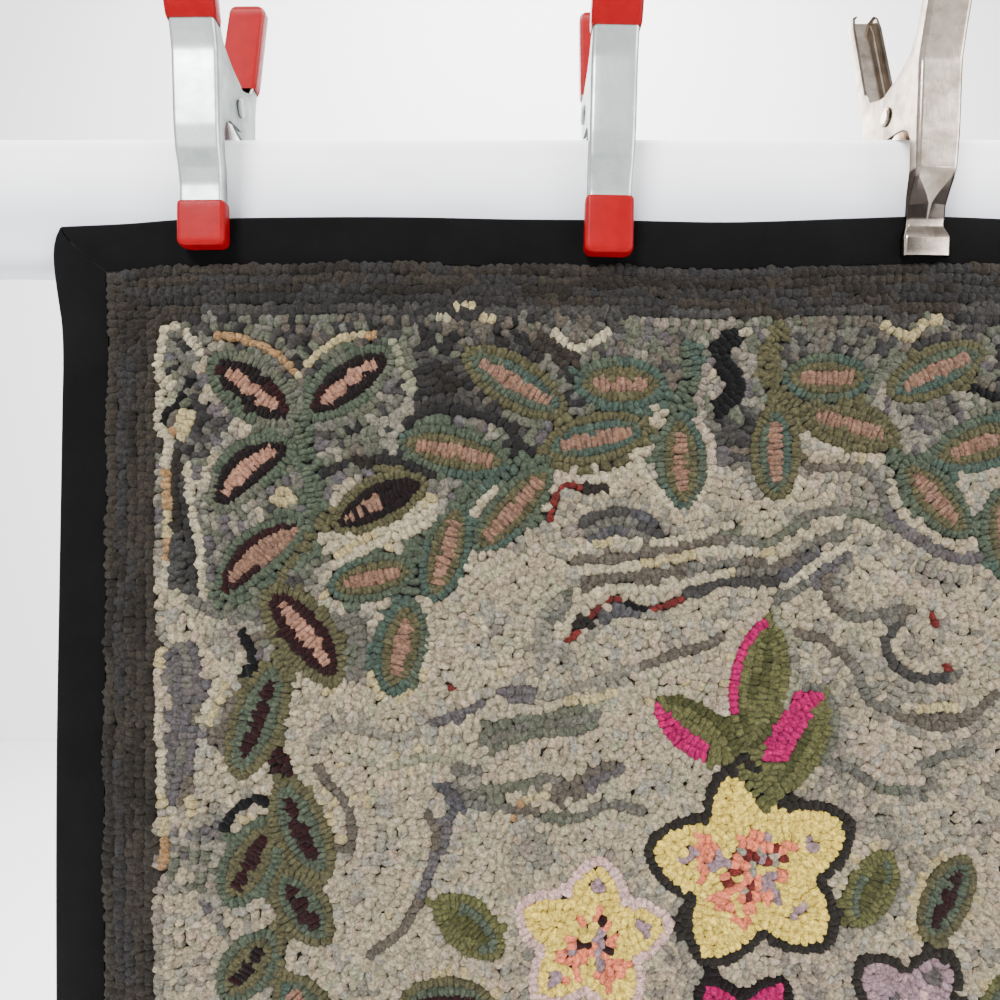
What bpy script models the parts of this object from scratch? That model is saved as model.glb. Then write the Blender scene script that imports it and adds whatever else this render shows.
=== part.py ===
"""Hooked rug with a cloth binding, hung from a padded rail by four steel spring clamps.

Metres, +Z up. The origin is the middle of the rail. The rug's face looks along -Y, and the
rail runs along X behind the rug's top edge. Each clamp straddles the rail: its front jaw
presses the rug's binding against the rail, and its back jaw bears on the rail's back.
"""

import math
from collections import namedtuple

import bmesh
import bpy
from mathutils import Matrix, Vector

GAP = 0.0003  # clear space between pieces that touch

# The rug. Depths run out from its back, towards the viewer.
RUG_WIDTH = 0.740
RUG_HEIGHT = 1.020
BINDING_WIDTH = 0.026
TAPE_THICKNESS = 0.0010
BINDING_THICKNESS = 0.0050
BINDING_CROWN = 0.0012  # how far the binding's face swells over its flat thickness
SwellPoint = namedtuple("SwellPoint", "inset swell")  # shares of the width and the crown
BINDING_FACE = [SwellPoint(1.0, 0.0), SwellPoint(0.65, 0.95), SwellPoint(0.3, 0.8)]
MITRE_GAP = 0.0004
BINDING_STEPS = 24
FOLD_STEPS = 4
HEM_EDGE = 0.0085  # where the foundation ends inside the folded binding
HEM_BACK = TAPE_THICKNESS + GAP
HEM_FRONT = BINDING_THICKNESS - TAPE_THICKNESS - GAP
PILE_EDGE = BINDING_WIDTH + 0.0008
PILE_WALL = 0.0010  # how far the pile's side wall leans in
PILE_FRONT = 0.0075
PILE_COLUMNS = 18
PILE_ROWS = 26

# The padded rail, and where the rug's top edge lies on it.
RAIL_LENGTH = 0.920
RAIL_HEIGHT = 0.075
RAIL_DEPTH = 0.030
RAIL_RADIUS = 0.010
RAIL_END_ROUND = 0.002
RAIL_CORNER_STEPS = 5
RUG_TOP_Z = -0.0115
RUG_BACK_Y = -RAIL_DEPTH / 2 - GAP

# How the hung rug departs from a flat rectangle: each row gives a distance along an edge
# from the top left corner, and how far the edge stands out there.
EdgePoint = namedtuple("EdgePoint", "along out")
TOP_EDGE = [
    EdgePoint(0.000, -0.0054),
    EdgePoint(0.035, -0.0027),
    EdgePoint(0.068, 0.0004),
    EdgePoint(0.134, 0.0016),
    EdgePoint(0.190, 0.0016),
    EdgePoint(0.245, 0.0005),
    EdgePoint(0.300, 0.0000),
    EdgePoint(0.365, -0.0011),
    EdgePoint(0.436, 0.0011),
    EdgePoint(0.474, 0.0020),
    EdgePoint(0.560, -0.0008),
    EdgePoint(0.655, 0.0014),
    EdgePoint(0.740, -0.0040),
]
SIDE_EDGE = [
    EdgePoint(0.000, 0.0000),
    EdgePoint(0.012, 0.0012),
    EdgePoint(0.028, 0.0018),
    EdgePoint(0.040, 0.0006),
    EdgePoint(0.052, -0.0020),
    EdgePoint(0.070, -0.0022),
    EdgePoint(0.100, -0.0015),
    EdgePoint(0.205, 0.0000),
    EdgePoint(0.315, 0.0008),
    EdgePoint(0.700, 0.0002),
    EdgePoint(1.000, 0.0006),
    EdgePoint(1.020, -0.0016),
]
TOP_REACH = 0.300  # how far down the top edge's rise is felt
SIDE_REACH = 0.045
BOTTOM_WAVE = 0.0014
BOTTOM_WAVE_LENGTH = 0.410
BOTTOM_WAVE_PHASE = 0.8

# Slow billows of the hanging cloth, which start below the rail.
BILLOW_START = 0.050
BILLOW_FULL = 0.350
BROAD_BILLOW = 0.0034
BROAD_LENGTH = 0.480
BROAD_PHASE = 0.5
FINE_BILLOW = 0.0012
FINE_LENGTH = 0.310
FINE_LEAN = 0.9  # how many fine billows' phase shifts in a metre of height
CORNER_CURL = 0.0050
CURL_REACH = 0.160

# The spring clamps. A clamp's heights run up from its jaw ends, and its distances run out
# from the middle plane between its two arms.
STEEL = 0.0015
CORNER_CUT = 0.0011
PIN_HEIGHT = 0.085
PIN_RADIUS = 0.0028
PIN_SIDES = 12
PIN_HEAD_RADIUS = 0.0052
PIN_HEAD_THICKNESS = 0.0013
PIN_HEAD_FACE = 0.7  # share of the head's radius that is flat on its outer face
PIN_HEAD_RIM = 0.6  # share of the head's thickness that is straight-sided
SLEEVE_WALL = 0.0010
SLEEVE_CORNER = 0.0022
SLEEVE_INSIDE_CORNER = 0.0005
SLEEVE_CORNER_STEPS = 2
SLEEVE_END_ROUND = 0.0006
GRIP_LENGTH = 0.062
INNER_EAR_CLEARANCE = 0.0004
JAW_FACE = (RAIL_DEPTH + BINDING_THICKNESS + BINDING_CROWN + 3 * GAP) / 2
CLAMP_MIDDLE_Y = RAIL_DEPTH / 2 + GAP - JAW_FACE
JAW_FLANGE = 0.008
JAW_WEB = JAW_FACE + SLEEVE_WALL + GAP + JAW_FLANGE
SPRING_WIRE_RADIUS = 0.0011
SPRING_COIL_RADIUS = 0.0066
SPRING_TURNS = 3
SPRING_TURN_STEPS = 8
SPRING_PITCH = 0.0029
SPRING_LEG_HEIGHT = 0.111

# Rows from the jaw end to the handle end: the web is the plate that faces outwards, and the
# flanges run back from it towards the middle plane, deep where they form the pivot's ears.
ArmStation = namedtuple("ArmStation", "height web flange width")
EAR = 0.004  # how far the ears pass the middle plane
SLEEVED_ARM = [
    ArmStation(0.000, JAW_WEB, JAW_FLANGE, 0.0232),
    ArmStation(0.031, JAW_WEB, JAW_FLANGE, 0.0232),
    ArmStation(0.040, JAW_WEB + 0.0016, JAW_FLANGE, 0.0238),
    ArmStation(0.048, JAW_WEB + 0.0044, JAW_FLANGE, 0.0242),
    ArmStation(0.060, JAW_WEB + 0.0062, JAW_FLANGE, 0.0244),
    ArmStation(0.0665, JAW_WEB + 0.0065, 0.0115, 0.0245),
    ArmStation(0.0700, JAW_WEB + 0.0067, 0.0180, 0.0245),
    ArmStation(0.0715, JAW_WEB + 0.0068, 0.0260, 0.0245),
    ArmStation(0.0722, JAW_WEB + 0.0068, JAW_WEB + 0.0068 + EAR, 0.0245),
    ArmStation(0.0980, JAW_WEB + 0.0080, JAW_WEB + 0.0080 + EAR, 0.0245),
    ArmStation(0.1005, JAW_WEB + 0.0085, 0.0250, 0.0245),
    ArmStation(0.1060, JAW_WEB + 0.0100, 0.0130, 0.0244),
    ArmStation(0.1140, JAW_WEB + 0.0125, 0.0090, 0.0242),
    ArmStation(0.1440, JAW_WEB + 0.0225, 0.0090, 0.0238),
    ArmStation(0.1740, JAW_WEB + 0.0325, 0.0090, 0.0234),
]
BARE_SLIMMER = 0.0016  # how much narrower the bare clamp is than the sleeved ones
BARE_ARM = [
    ArmStation(0.000, JAW_FACE + 0.0052, 0.0052, 0.0250),
    ArmStation(0.010, JAW_FACE + 0.0056, 0.0056, 0.0250),
    ArmStation(0.0115, JAW_FACE + 0.0050, 0.0050, 0.0244),
    ArmStation(0.016, JAW_FACE + 0.0032, 0.0032, 0.0206),
    ArmStation(0.019, JAW_FACE + 0.0036, 0.0034, 0.0206),
    ArmStation(0.032, JAW_FACE + 0.0090, 0.0070, 0.0212),
    ArmStation(0.044, JAW_FACE + 0.0140, JAW_FLANGE, 0.0222),
] + [row._replace(width=row.width - BARE_SLIMMER) for row in SLEEVED_ARM[4:]]

Clamp = namedtuple("Clamp", "name along below lean sleeve")
CLAMPS = [
    Clamp("clamp_1", 0.0808, 0.0179, -0.4, 0.0226),
    Clamp("clamp_2", 0.2970, 0.0217, 1.2, 0.0290),
    Clamp("clamp_3", 0.4680, 0.0217, 0.6, 0.0),
    Clamp("clamp_4", 0.6570, 0.0200, -1.3, 0.0250),
]

# Base colour, roughness and metallic value.
Finish = namedtuple("Finish", "colour roughness metallic")
FINISHES = {
    "wool_pile": Finish((0.23, 0.21, 0.18), 0.95, 0.0),
    "binding_cloth": Finish((0.010, 0.010, 0.011), 0.90, 0.0),
    "white_cloth": Finish((0.80, 0.81, 0.84), 0.85, 0.0),
    "zinc_steel": Finish((0.60, 0.61, 0.59), 0.38, 1.0),
    "nickel_steel": Finish((0.72, 0.68, 0.62), 0.18, 1.0),
    "red_vinyl": Finish((0.78, 0.02, 0.03), 0.35, 0.0),
}


def clear_scene():
    for thing in list(bpy.data.objects):
        bpy.data.objects.remove(thing)


def material(name):
    """The Principled material for one of the finishes, made on first use."""
    found = bpy.data.materials.get(name)
    if found:
        return found
    finish = FINISHES[name]
    made = bpy.data.materials.new(name)
    made.use_nodes = True
    shader = made.node_tree.nodes["Principled BSDF"]
    shader.inputs["Base Color"].default_value = (*finish.colour, 1.0)
    shader.inputs["Roughness"].default_value = finish.roughness
    shader.inputs["Metallic"].default_value = finish.metallic
    return made


def add_solid(name, build, finish, smooth_angle=None):
    """Makes an object from a bmesh, with its faces turned out and its finish."""
    bmesh.ops.recalc_face_normals(build, faces=build.faces)
    mesh = bpy.data.meshes.new(name)
    build.to_mesh(mesh)
    build.free()
    if smooth_angle:
        mesh.shade_smooth()
        mesh.set_sharp_from_angle(angle=math.radians(smooth_angle))
    mesh.materials.append(material(finish))
    solid = bpy.data.objects.new(name, mesh)
    bpy.context.scene.collection.objects.link(solid)
    return solid


def loft(rings):
    """A closed bmesh through rings of equally many points, capped at both ends."""
    build = bmesh.new()
    lines = [[build.verts.new(point) for point in ring] for ring in rings]
    for near, far in zip(lines, lines[1:]):
        for i in range(len(near)):
            j = (i + 1) % len(near)
            build.faces.new((near[i], near[j], far[j], far[i]))
    build.faces.new(reversed(lines[0]))
    build.faces.new(lines[-1])
    return build


def smooth_step(value):
    value = min(1.0, max(0.0, value))
    return value * value * (3 - 2 * value)


def edge_out(rows, along):
    """How far an edge stands out at a distance along it: a smooth curve through the rows."""
    if along <= rows[0].along:
        return rows[0].out
    if along >= rows[-1].along:
        return rows[-1].out

    def slope(i):
        before, after = rows[max(i - 1, 0)], rows[min(i + 1, len(rows) - 1)]
        return (after.out - before.out) / (after.along - before.along)

    i = next(k for k in range(len(rows) - 1) if along <= rows[k + 1].along)
    start, end = rows[i], rows[i + 1]
    span = end.along - start.along
    u = (along - start.along) / span
    bend = (1 - u) ** 2 * u * slope(i) - (1 - u) * u**2 * slope(i + 1)
    return start.out + (end.out - start.out) * smooth_step(u) + bend * span


def fade(distance, reach):
    """1 at an edge, falling smoothly to 0 at a reach from it."""
    return 1 - smooth_step(distance / reach)


def billow(along, down):
    """How far the hanging cloth stands out of its plane."""
    hold = smooth_step((down - BILLOW_START) / BILLOW_FULL)
    broad = BROAD_BILLOW * math.sin(math.tau * along / BROAD_LENGTH + BROAD_PHASE)
    fine = FINE_BILLOW * math.sin(math.tau * (along / FINE_LENGTH + FINE_LEAN * down))
    low = fade(RUG_HEIGHT - down, CURL_REACH)
    side = fade(along, CURL_REACH) + fade(RUG_WIDTH - along, CURL_REACH)
    return hold * (broad + fine) + CORNER_CURL * low * side


def hang(along, down, depth):
    """The place of a point of the rug: along from its left edge, down from its top edge and
    depth out from its back, as the rug hangs."""
    left = edge_out(SIDE_EDGE, down) * fade(along, SIDE_REACH)
    right = edge_out(SIDE_EDGE, down) * fade(RUG_WIDTH - along, SIDE_REACH)
    rise = edge_out(TOP_EDGE, along) * fade(down, TOP_REACH)
    wave = BOTTOM_WAVE * math.sin(math.tau * along / BOTTOM_WAVE_LENGTH + BOTTOM_WAVE_PHASE)
    drop = wave * fade(RUG_HEIGHT - down, TOP_REACH)
    x = along - RUG_WIDTH / 2 - left + right
    y = RUG_BACK_Y - depth - billow(along, down)
    z = RUG_TOP_Z - down + rise - drop
    return Vector((x, y, z))


def pile_lines(length, count):
    """Grid lines across the hooked panel, as (position, front depth) pairs: the foundation's
    hem runs into the binding, and the pile rises inside it."""
    inner = PILE_EDGE + PILE_WALL
    lines = [(HEM_EDGE, HEM_FRONT), (PILE_EDGE, HEM_FRONT)]
    for i in range(count + 1):
        lines.append((inner + (length - 2 * inner) * i / count, PILE_FRONT))
    lines += [(length - PILE_EDGE, HEM_FRONT), (length - HEM_EDGE, HEM_FRONT)]
    return lines


def add_hooked_panel():
    """The foundation with its pile: one slab with the hung rug's outline and billows."""
    columns = pile_lines(RUG_WIDTH, PILE_COLUMNS)
    rows = pile_lines(RUG_HEIGHT, PILE_ROWS)
    build = bmesh.new()

    def layer(depth_of):
        return [
            [build.verts.new(hang(along, down, depth_of(a, b))) for along, a in columns]
            for down, b in rows
        ]

    front = layer(min)
    back = layer(lambda a, b: HEM_BACK)
    for j in range(len(rows) - 1):
        for i in range(len(columns) - 1):
            for grid in (front, back):
                corners = (grid[j][i], grid[j][i + 1], grid[j + 1][i + 1], grid[j + 1][i])
                build.faces.new(corners)

    def rim(grid):
        right = [row[-1] for row in grid[1:-1]]
        left = [row[0] for row in grid[1:-1]]
        return grid[0] + right + grid[-1][::-1] + left[::-1]

    ring, behind = rim(front), rim(back)
    for i in range(len(ring)):
        j = (i + 1) % len(ring)
        build.faces.new((ring[i], ring[j], behind[j], behind[i]))
    add_solid("hooked_panel", build, "wool_pile", smooth_angle=30)


def binding_profile():
    """The folded tape's cross-section as (inset from the rug's edge, depth) pairs: round the
    outside of the fold from the face to the back, then along its inside to the face again."""
    half = BINDING_THICKNESS / 2
    outside, inside = [], []
    for row in BINDING_FACE:
        place = (BINDING_WIDTH * row.inset, BINDING_THICKNESS + BINDING_CROWN * row.swell)
        outside.append(place)
        inside.append((place[0], place[1] - TAPE_THICKNESS))
    for i in range(FOLD_STEPS + 1):
        turn = math.pi * i / FOLD_STEPS
        outside.append((half - half * math.sin(turn), half + half * math.cos(turn)))
        tight = half - TAPE_THICKNESS
        inside.append((half - tight * math.sin(turn), half + tight * math.cos(turn)))
    for row in reversed(BINDING_FACE):
        outside.append((BINDING_WIDTH * row.inset, 0.0))
        inside.append((BINDING_WIDTH * row.inset, TAPE_THICKNESS))
    return outside + inside[::-1]


def add_binding(name, length, place):
    """One length of the binding tape, mitred at both ends. place turns a position along the
    rug's edge, an inset from it and a depth into a point of the hung rug."""
    rings = []
    for step in range(BINDING_STEPS + 1):
        share = (1 - math.cos(math.pi * step / BINDING_STEPS)) / 2
        ring = []
        for inset, depth in binding_profile():
            start = inset + MITRE_GAP
            ring.append(place(start + (length - 2 * start) * share, inset, depth))
        rings.append(ring)
    add_solid(name, loft(rings), "binding_cloth", smooth_angle=50)


def add_bindings():
    low, far = RUG_HEIGHT, RUG_WIDTH
    add_binding("binding_top", RUG_WIDTH, lambda at, inset, depth: hang(at, inset, depth))
    add_binding("binding_bottom", RUG_WIDTH, lambda at, inset, depth: hang(at, low - inset, depth))
    add_binding("binding_left", RUG_HEIGHT, lambda at, inset, depth: hang(inset, at, depth))
    add_binding("binding_right", RUG_HEIGHT, lambda at, inset, depth: hang(far - inset, at, depth))


def rounded_rectangle(half_wide, half_high, radius, corner_steps):
    """Points round a rectangle with round corners, in its own plane."""
    points = []
    for quarter in range(4):
        across = 1 if quarter in (0, 3) else -1
        up = 1 if quarter in (0, 1) else -1
        for step in range(corner_steps + 1):
            turn = math.pi / 2 * (quarter + step / corner_steps)
            points.append(
                (
                    across * (half_wide - radius) + radius * math.cos(turn),
                    up * (half_high - radius) + radius * math.sin(turn),
                )
            )
    return points


def add_rail():
    """The straight rail, its long edges well rounded and its ends eased."""
    half = RAIL_LENGTH / 2
    stations = (
        (-half, RAIL_END_ROUND),
        (-half + RAIL_END_ROUND, 0.0),
        (half - RAIL_END_ROUND, 0.0),
        (half, RAIL_END_ROUND),
    )
    rings = []
    for x, shrink in stations:
        outline = rounded_rectangle(
            RAIL_DEPTH / 2 - shrink,
            RAIL_HEIGHT / 2 - shrink,
            RAIL_RADIUS - shrink,
            RAIL_CORNER_STEPS,
        )
        rings.append([(x, y, z) for y, z in outline])
    add_solid("rail", loft(rings), "white_cloth", smooth_angle=40)


def ear_width(rows):
    """The width of an arm where its ears are deepest."""
    return max(rows, key=lambda row: row.flange).width


def arm_at(rows, height):
    """The arm's station at a height, between the table's rows."""
    i = next(k for k in range(len(rows) - 1) if height <= rows[k + 1].height)
    start, end = rows[i], rows[i + 1]
    share = (height - start.height) / (end.height - start.height)
    return ArmStation(*(a + (b - a) * share for a, b in zip(start, end)))


def channel(station, narrower):
    """The pressed channel's section at a station: a web with a flange at each side."""
    half = station.width / 2 - narrower
    web, edge = station.web, station.web - station.flange
    cut = CORNER_CUT
    outside = [(half, edge), (half, web - cut), (half - cut, web)]
    inside = [(half - STEEL, web - STEEL), (half - STEEL, edge)]
    ring = outside + [(-x, out) for x, out in outside[::-1]]
    return ring + [(-x, out) for x, out in inside[::-1]] + inside


def clamp_place(clamp, side):
    """The matrix from a clamp's own frame (across, out, up) to the world. The back arm
    faces the other way."""
    jaw_z = RUG_TOP_Z - clamp.below + (SLEEVE_WALL + GAP if clamp.sleeve else 0.0)
    turn = Matrix.Rotation(math.radians(clamp.lean), 4, "Y")
    flip = Matrix.Diagonal((1, side, 1, 1))
    x = clamp.along - RUG_WIDTH / 2
    return Matrix.Translation((x, CLAMP_MIDDLE_Y, jaw_z)) @ turn @ flip


def place_solid(solid, matrix):
    """Moves a solid's points, and turns its faces out again where the matrix mirrors."""
    solid.data.transform(matrix)
    if matrix.determinant() < 0:
        solid.data.flip_normals()


def drill(solid, place, radius, reach):
    """Cuts a round hole through a solid, along the X of the place it is given."""
    cutter_mesh = bpy.data.meshes.new(solid.name + "_drill")
    build = bmesh.new()
    bmesh.ops.create_cone(
        build,
        cap_ends=True,
        segments=PIN_SIDES,
        radius1=radius,
        radius2=radius,
        depth=reach,
        matrix=place @ Matrix.Rotation(math.pi / 2, 4, "Y"),
    )
    build.to_mesh(cutter_mesh)
    build.free()
    cutter = bpy.data.objects.new(solid.name + "_drill", cutter_mesh)
    cutter.hide_render = True
    cutter.display_type = "WIRE"
    bpy.context.scene.collection.objects.link(cutter)
    hole = solid.modifiers.new("pin_hole", "BOOLEAN")
    hole.operation = "DIFFERENCE"
    hole.object = cutter


def steel_of(clamp):
    """The sleeved clamps are zinc plated, and the bare one is nickel plated."""
    return "zinc_steel" if clamp.sleeve else "nickel_steel"


def add_arm(clamp, rows, side, narrower, name):
    """One pressed-steel arm: jaw, pivot ears and handle in one channel."""
    rings = [
        [(x, out, row.height) for x, out in channel(row, narrower)] for row in rows
    ]
    arm = add_solid(name, loft(rings), steel_of(clamp), smooth_angle=35)
    place_solid(arm, clamp_place(clamp, side))
    pivot = clamp_place(clamp, 1) @ Matrix.Translation((0, 0, PIN_HEIGHT))
    drill(arm, pivot, PIN_RADIUS + GAP, 2 * ear_width(rows))


def sleeve_ring(station, grow, height, narrower):
    """A ring round the channel's section, grow outside it."""
    half_deep = station.flange / 2
    corner = SLEEVE_CORNER if grow > GAP else SLEEVE_INSIDE_CORNER
    half_wide = station.width / 2 - narrower
    outline = rounded_rectangle(
        half_wide + grow, half_deep + grow, corner, SLEEVE_CORNER_STEPS
    )
    middle = station.web - half_deep
    return [(x, middle + out, height) for x, out in outline]


def add_sleeve(clamp, rows, side, narrower, name, opening, end):
    """A dipped vinyl sleeve over an arm's end: open at one height and closed past the
    other, where the steel stops."""
    way = 1 if end > opening else -1
    at_opening, at_end = arm_at(rows, opening), arm_at(rows, end)
    outer = GAP + SLEEVE_WALL
    rings = [
        sleeve_ring(at_end, GAP, end + way * GAP, narrower),
        sleeve_ring(at_opening, GAP, opening, narrower),
        sleeve_ring(at_opening, outer, opening, narrower),
        sleeve_ring(at_end, outer, end, narrower),
        sleeve_ring(at_end, outer - SLEEVE_END_ROUND, end + way * outer, narrower),
    ]
    sleeve = add_solid(name, loft(rings), "red_vinyl", smooth_angle=50)
    place_solid(sleeve, clamp_place(clamp, side))


def add_pin(clamp, rows):
    """The riveted pivot pin, with a head outside each outer ear."""
    head = ear_width(rows) / 2 + GAP
    stations = (
        (-head - PIN_HEAD_THICKNESS, PIN_HEAD_RADIUS * PIN_HEAD_FACE),
        (-head - PIN_HEAD_THICKNESS * PIN_HEAD_RIM, PIN_HEAD_RADIUS),
        (-head, PIN_HEAD_RADIUS),
        (-head, PIN_RADIUS),
        (head, PIN_RADIUS),
        (head, PIN_HEAD_RADIUS),
        (head + PIN_HEAD_THICKNESS * PIN_HEAD_RIM, PIN_HEAD_RADIUS),
        (head + PIN_HEAD_THICKNESS, PIN_HEAD_RADIUS * PIN_HEAD_FACE),
    )
    rings = []
    for x, radius in stations:
        turns = [math.tau * i / PIN_SIDES for i in range(PIN_SIDES)]
        rings.append(
            [(x, radius * math.cos(a), PIN_HEIGHT + radius * math.sin(a)) for a in turns]
        )
    pin = add_solid(clamp.name + "_pin", loft(rings), steel_of(clamp), smooth_angle=40)
    place_solid(pin, clamp_place(clamp, -1))


def spring_route(rows):
    """The torsion spring's line: a leg from the front handle, the coil round the pin, and a
    leg to the back handle, both legs straight off the coil."""
    touch = STEEL + GAP + SPRING_WIRE_RADIUS
    reach = arm_at(rows, SPRING_LEG_HEIGHT).web - touch
    rise = SPRING_LEG_HEIGHT - PIN_HEIGHT
    leave = math.atan2(rise, reach) + math.acos(SPRING_COIL_RADIUS / math.hypot(reach, rise))
    enter = math.pi - leave
    wound = math.tau * SPRING_TURNS - (leave - enter)
    half_long = SPRING_TURNS * SPRING_PITCH / 2
    steps = SPRING_TURNS * SPRING_TURN_STEPS
    route = [Vector((-half_long, -reach, SPRING_LEG_HEIGHT))]
    for i in range(steps + 1):
        turn = enter - wound * i / steps
        across = -half_long + 2 * half_long * i / steps
        out = SPRING_COIL_RADIUS * math.cos(turn)
        route.append(Vector((across, out, PIN_HEIGHT + SPRING_COIL_RADIUS * math.sin(turn))))
    route.append(Vector((half_long, reach, SPRING_LEG_HEIGHT)))
    return route


def add_spring(clamp, rows):
    """The clamp's torsion spring, of round wire."""
    points = spring_route(rows)
    curve = bpy.data.curves.new(clamp.name + "_spring", "CURVE")
    curve.dimensions = "3D"
    curve.bevel_depth = SPRING_WIRE_RADIUS
    curve.bevel_resolution = 1
    curve.use_fill_caps = True
    line = curve.splines.new("POLY")
    line.points.add(len(points) - 1)
    place = clamp_place(clamp, 1)
    for slot, point in zip(line.points, points):
        slot.co = (*(place @ point), 1.0)
    curve.materials.append(material(steel_of(clamp)))
    spring = bpy.data.objects.new(clamp.name + "_spring", curve)
    bpy.context.scene.collection.objects.link(spring)


def add_clamp(clamp):
    """A whole spring clamp: two arms on a pin, the spring, and vinyl sleeves on the jaws
    and handles unless the clamp is a bare one."""
    rows = SLEEVED_ARM if clamp.sleeve else BARE_ARM
    inner = STEEL + INNER_EAR_CLEARANCE
    for label, side, narrower in (("front", -1, 0.0), ("back", 1, inner)):
        name = f"{clamp.name}_{label}"
        add_arm(clamp, rows, side, narrower, name + "_arm")
        if clamp.sleeve:
            add_sleeve(clamp, rows, side, narrower, name + "_tip", clamp.sleeve, 0.0)
            top = rows[-1].height
            add_sleeve(clamp, rows, side, narrower, name + "_grip", top - GRIP_LENGTH, top)
    add_pin(clamp, rows)
    add_spring(clamp, rows)


def main():
    clear_scene()
    add_rail()
    add_hooked_panel()
    add_bindings()
    for clamp in CLAMPS:
        add_clamp(clamp)


main()
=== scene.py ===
"""Looks for a hooked wool rug that hangs from a padded rail by spring clamps.

The rug's pattern is laid out in millimetres on its flat face: along from the left edge and
down from the top edge. Rows of wool loops are placed there, and hang() carries every point
to its place on the hung rug, in metres.
"""

import math
import random
from collections import namedtuple

import bmesh
import bpy
import numpy as np
from mathutils import Matrix, Vector, kdtree

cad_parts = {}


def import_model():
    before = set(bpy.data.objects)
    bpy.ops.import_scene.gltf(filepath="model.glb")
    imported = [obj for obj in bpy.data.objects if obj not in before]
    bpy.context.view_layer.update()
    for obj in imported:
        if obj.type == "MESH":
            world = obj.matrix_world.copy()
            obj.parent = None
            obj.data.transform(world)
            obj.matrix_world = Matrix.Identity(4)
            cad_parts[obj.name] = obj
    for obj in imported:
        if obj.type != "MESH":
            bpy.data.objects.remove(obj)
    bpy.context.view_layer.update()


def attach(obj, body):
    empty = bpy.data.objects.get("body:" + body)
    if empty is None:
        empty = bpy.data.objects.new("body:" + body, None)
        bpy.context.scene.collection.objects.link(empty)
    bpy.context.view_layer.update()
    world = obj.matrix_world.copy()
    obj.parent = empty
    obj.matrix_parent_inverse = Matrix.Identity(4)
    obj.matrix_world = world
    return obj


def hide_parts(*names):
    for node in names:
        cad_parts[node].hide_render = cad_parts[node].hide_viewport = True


MM = 0.001
SEED = 27

# The rug, as its solids have it. Depths run out from its back, towards the viewer.
GAP = 0.0003
RUG_WIDTH = 0.740
RUG_HEIGHT = 1.020
BINDING_WIDTH = 0.026
TAPE_THICKNESS = 0.0010
BINDING_THICKNESS = 0.0050
BINDING_CROWN = 0.0012
SwellPoint = namedtuple("SwellPoint", "inset swell")
BINDING_FACE = [
    SwellPoint(1.0, 0.0),
    SwellPoint(0.86, 0.5),
    SwellPoint(0.65, 0.95),
    SwellPoint(0.45, 0.92),
    SwellPoint(0.3, 0.8),
    SwellPoint(0.18, 0.5),
]
MITRE_GAP = 0.0004
HEM_EDGE = 0.0085
HEM_BACK = TAPE_THICKNESS + GAP
HEM_FRONT = BINDING_THICKNESS - TAPE_THICKNESS - GAP
PILE_EDGE = BINDING_WIDTH + 0.0008
PILE_FRONT = 0.0075
RAIL_LENGTH = 0.920
RAIL_HEIGHT = 0.075
RAIL_DEPTH = 0.030
RAIL_RADIUS = 0.010
RUG_TOP_Z = -0.0115
RUG_BACK_Y = -RAIL_DEPTH / 2 - GAP

# How the hung rug departs from a flat rectangle. The upper corners are the soft tape's, which
# stand a little further out than the solid's.
EdgePoint = namedtuple("EdgePoint", "along out")
TOP_EDGE = [
    EdgePoint(0.000, -0.0036),
    EdgePoint(0.035, -0.0020),
    EdgePoint(0.068, 0.0004),
    EdgePoint(0.134, 0.0016),
    EdgePoint(0.190, 0.0016),
    EdgePoint(0.245, 0.0005),
    EdgePoint(0.300, 0.0000),
    EdgePoint(0.365, -0.0011),
    EdgePoint(0.436, 0.0011),
    EdgePoint(0.474, 0.0020),
    EdgePoint(0.560, -0.0008),
    EdgePoint(0.655, 0.0014),
    EdgePoint(0.740, -0.0040),
]
SIDE_EDGE = [
    EdgePoint(0.000, 0.0004),
    EdgePoint(0.005, 0.0028),
    EdgePoint(0.013, 0.0044),
    EdgePoint(0.024, 0.0040),
    EdgePoint(0.038, 0.0022),
    EdgePoint(0.055, -0.0002),
    EdgePoint(0.075, -0.0008),
    EdgePoint(0.100, -0.0004),
    EdgePoint(0.205, 0.0008),
    EdgePoint(0.315, 0.0016),
    EdgePoint(0.700, 0.0010),
    EdgePoint(1.000, 0.0010),
    EdgePoint(1.020, -0.0010),
]
TOP_REACH = 0.300
SIDE_REACH = 0.045
BOTTOM_WAVE = 0.0014
BOTTOM_WAVE_LENGTH = 0.410
BOTTOM_WAVE_PHASE = 0.8
BILLOW_START = 0.050
BILLOW_FULL = 0.350
BROAD_BILLOW = 0.0034
BROAD_LENGTH = 0.480
BROAD_PHASE = 0.5
FINE_BILLOW = 0.0012
FINE_LENGTH = 0.310
FINE_LEAN = 0.9
CORNER_CURL = 0.0050
CURL_REACH = 0.160

# The hooking, in millimetres.
ROW = 5.3  # from one row of loops to the next
PITCH = 3.85  # from one loop to the next along a ground row
LEAF_PITCH = 2.9
VEIN_WIDTH = 8.2
BUD_PITCH = 3.4
BUD_GREEN = 0.34  # share of a bud's magenta rows that is green, at its base
FLOWER_PITCH = 3.6
BORDER_PITCH = 4.6
CLEARANCE = 2.95  # the closest that a later loop may come to one already hooked
GRID = 2.0  # grid step of the field that the ground rows follow
FILL_REACH = 3.1  # a bare spot this far from every loop gets a loop of its own
LOOP_BASE = 3.2
LOOP_HEIGHT = PILE_FRONT / MM - LOOP_BASE
BANDS = 5  # how many pieces the pile is made in, from top to bottom

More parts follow.
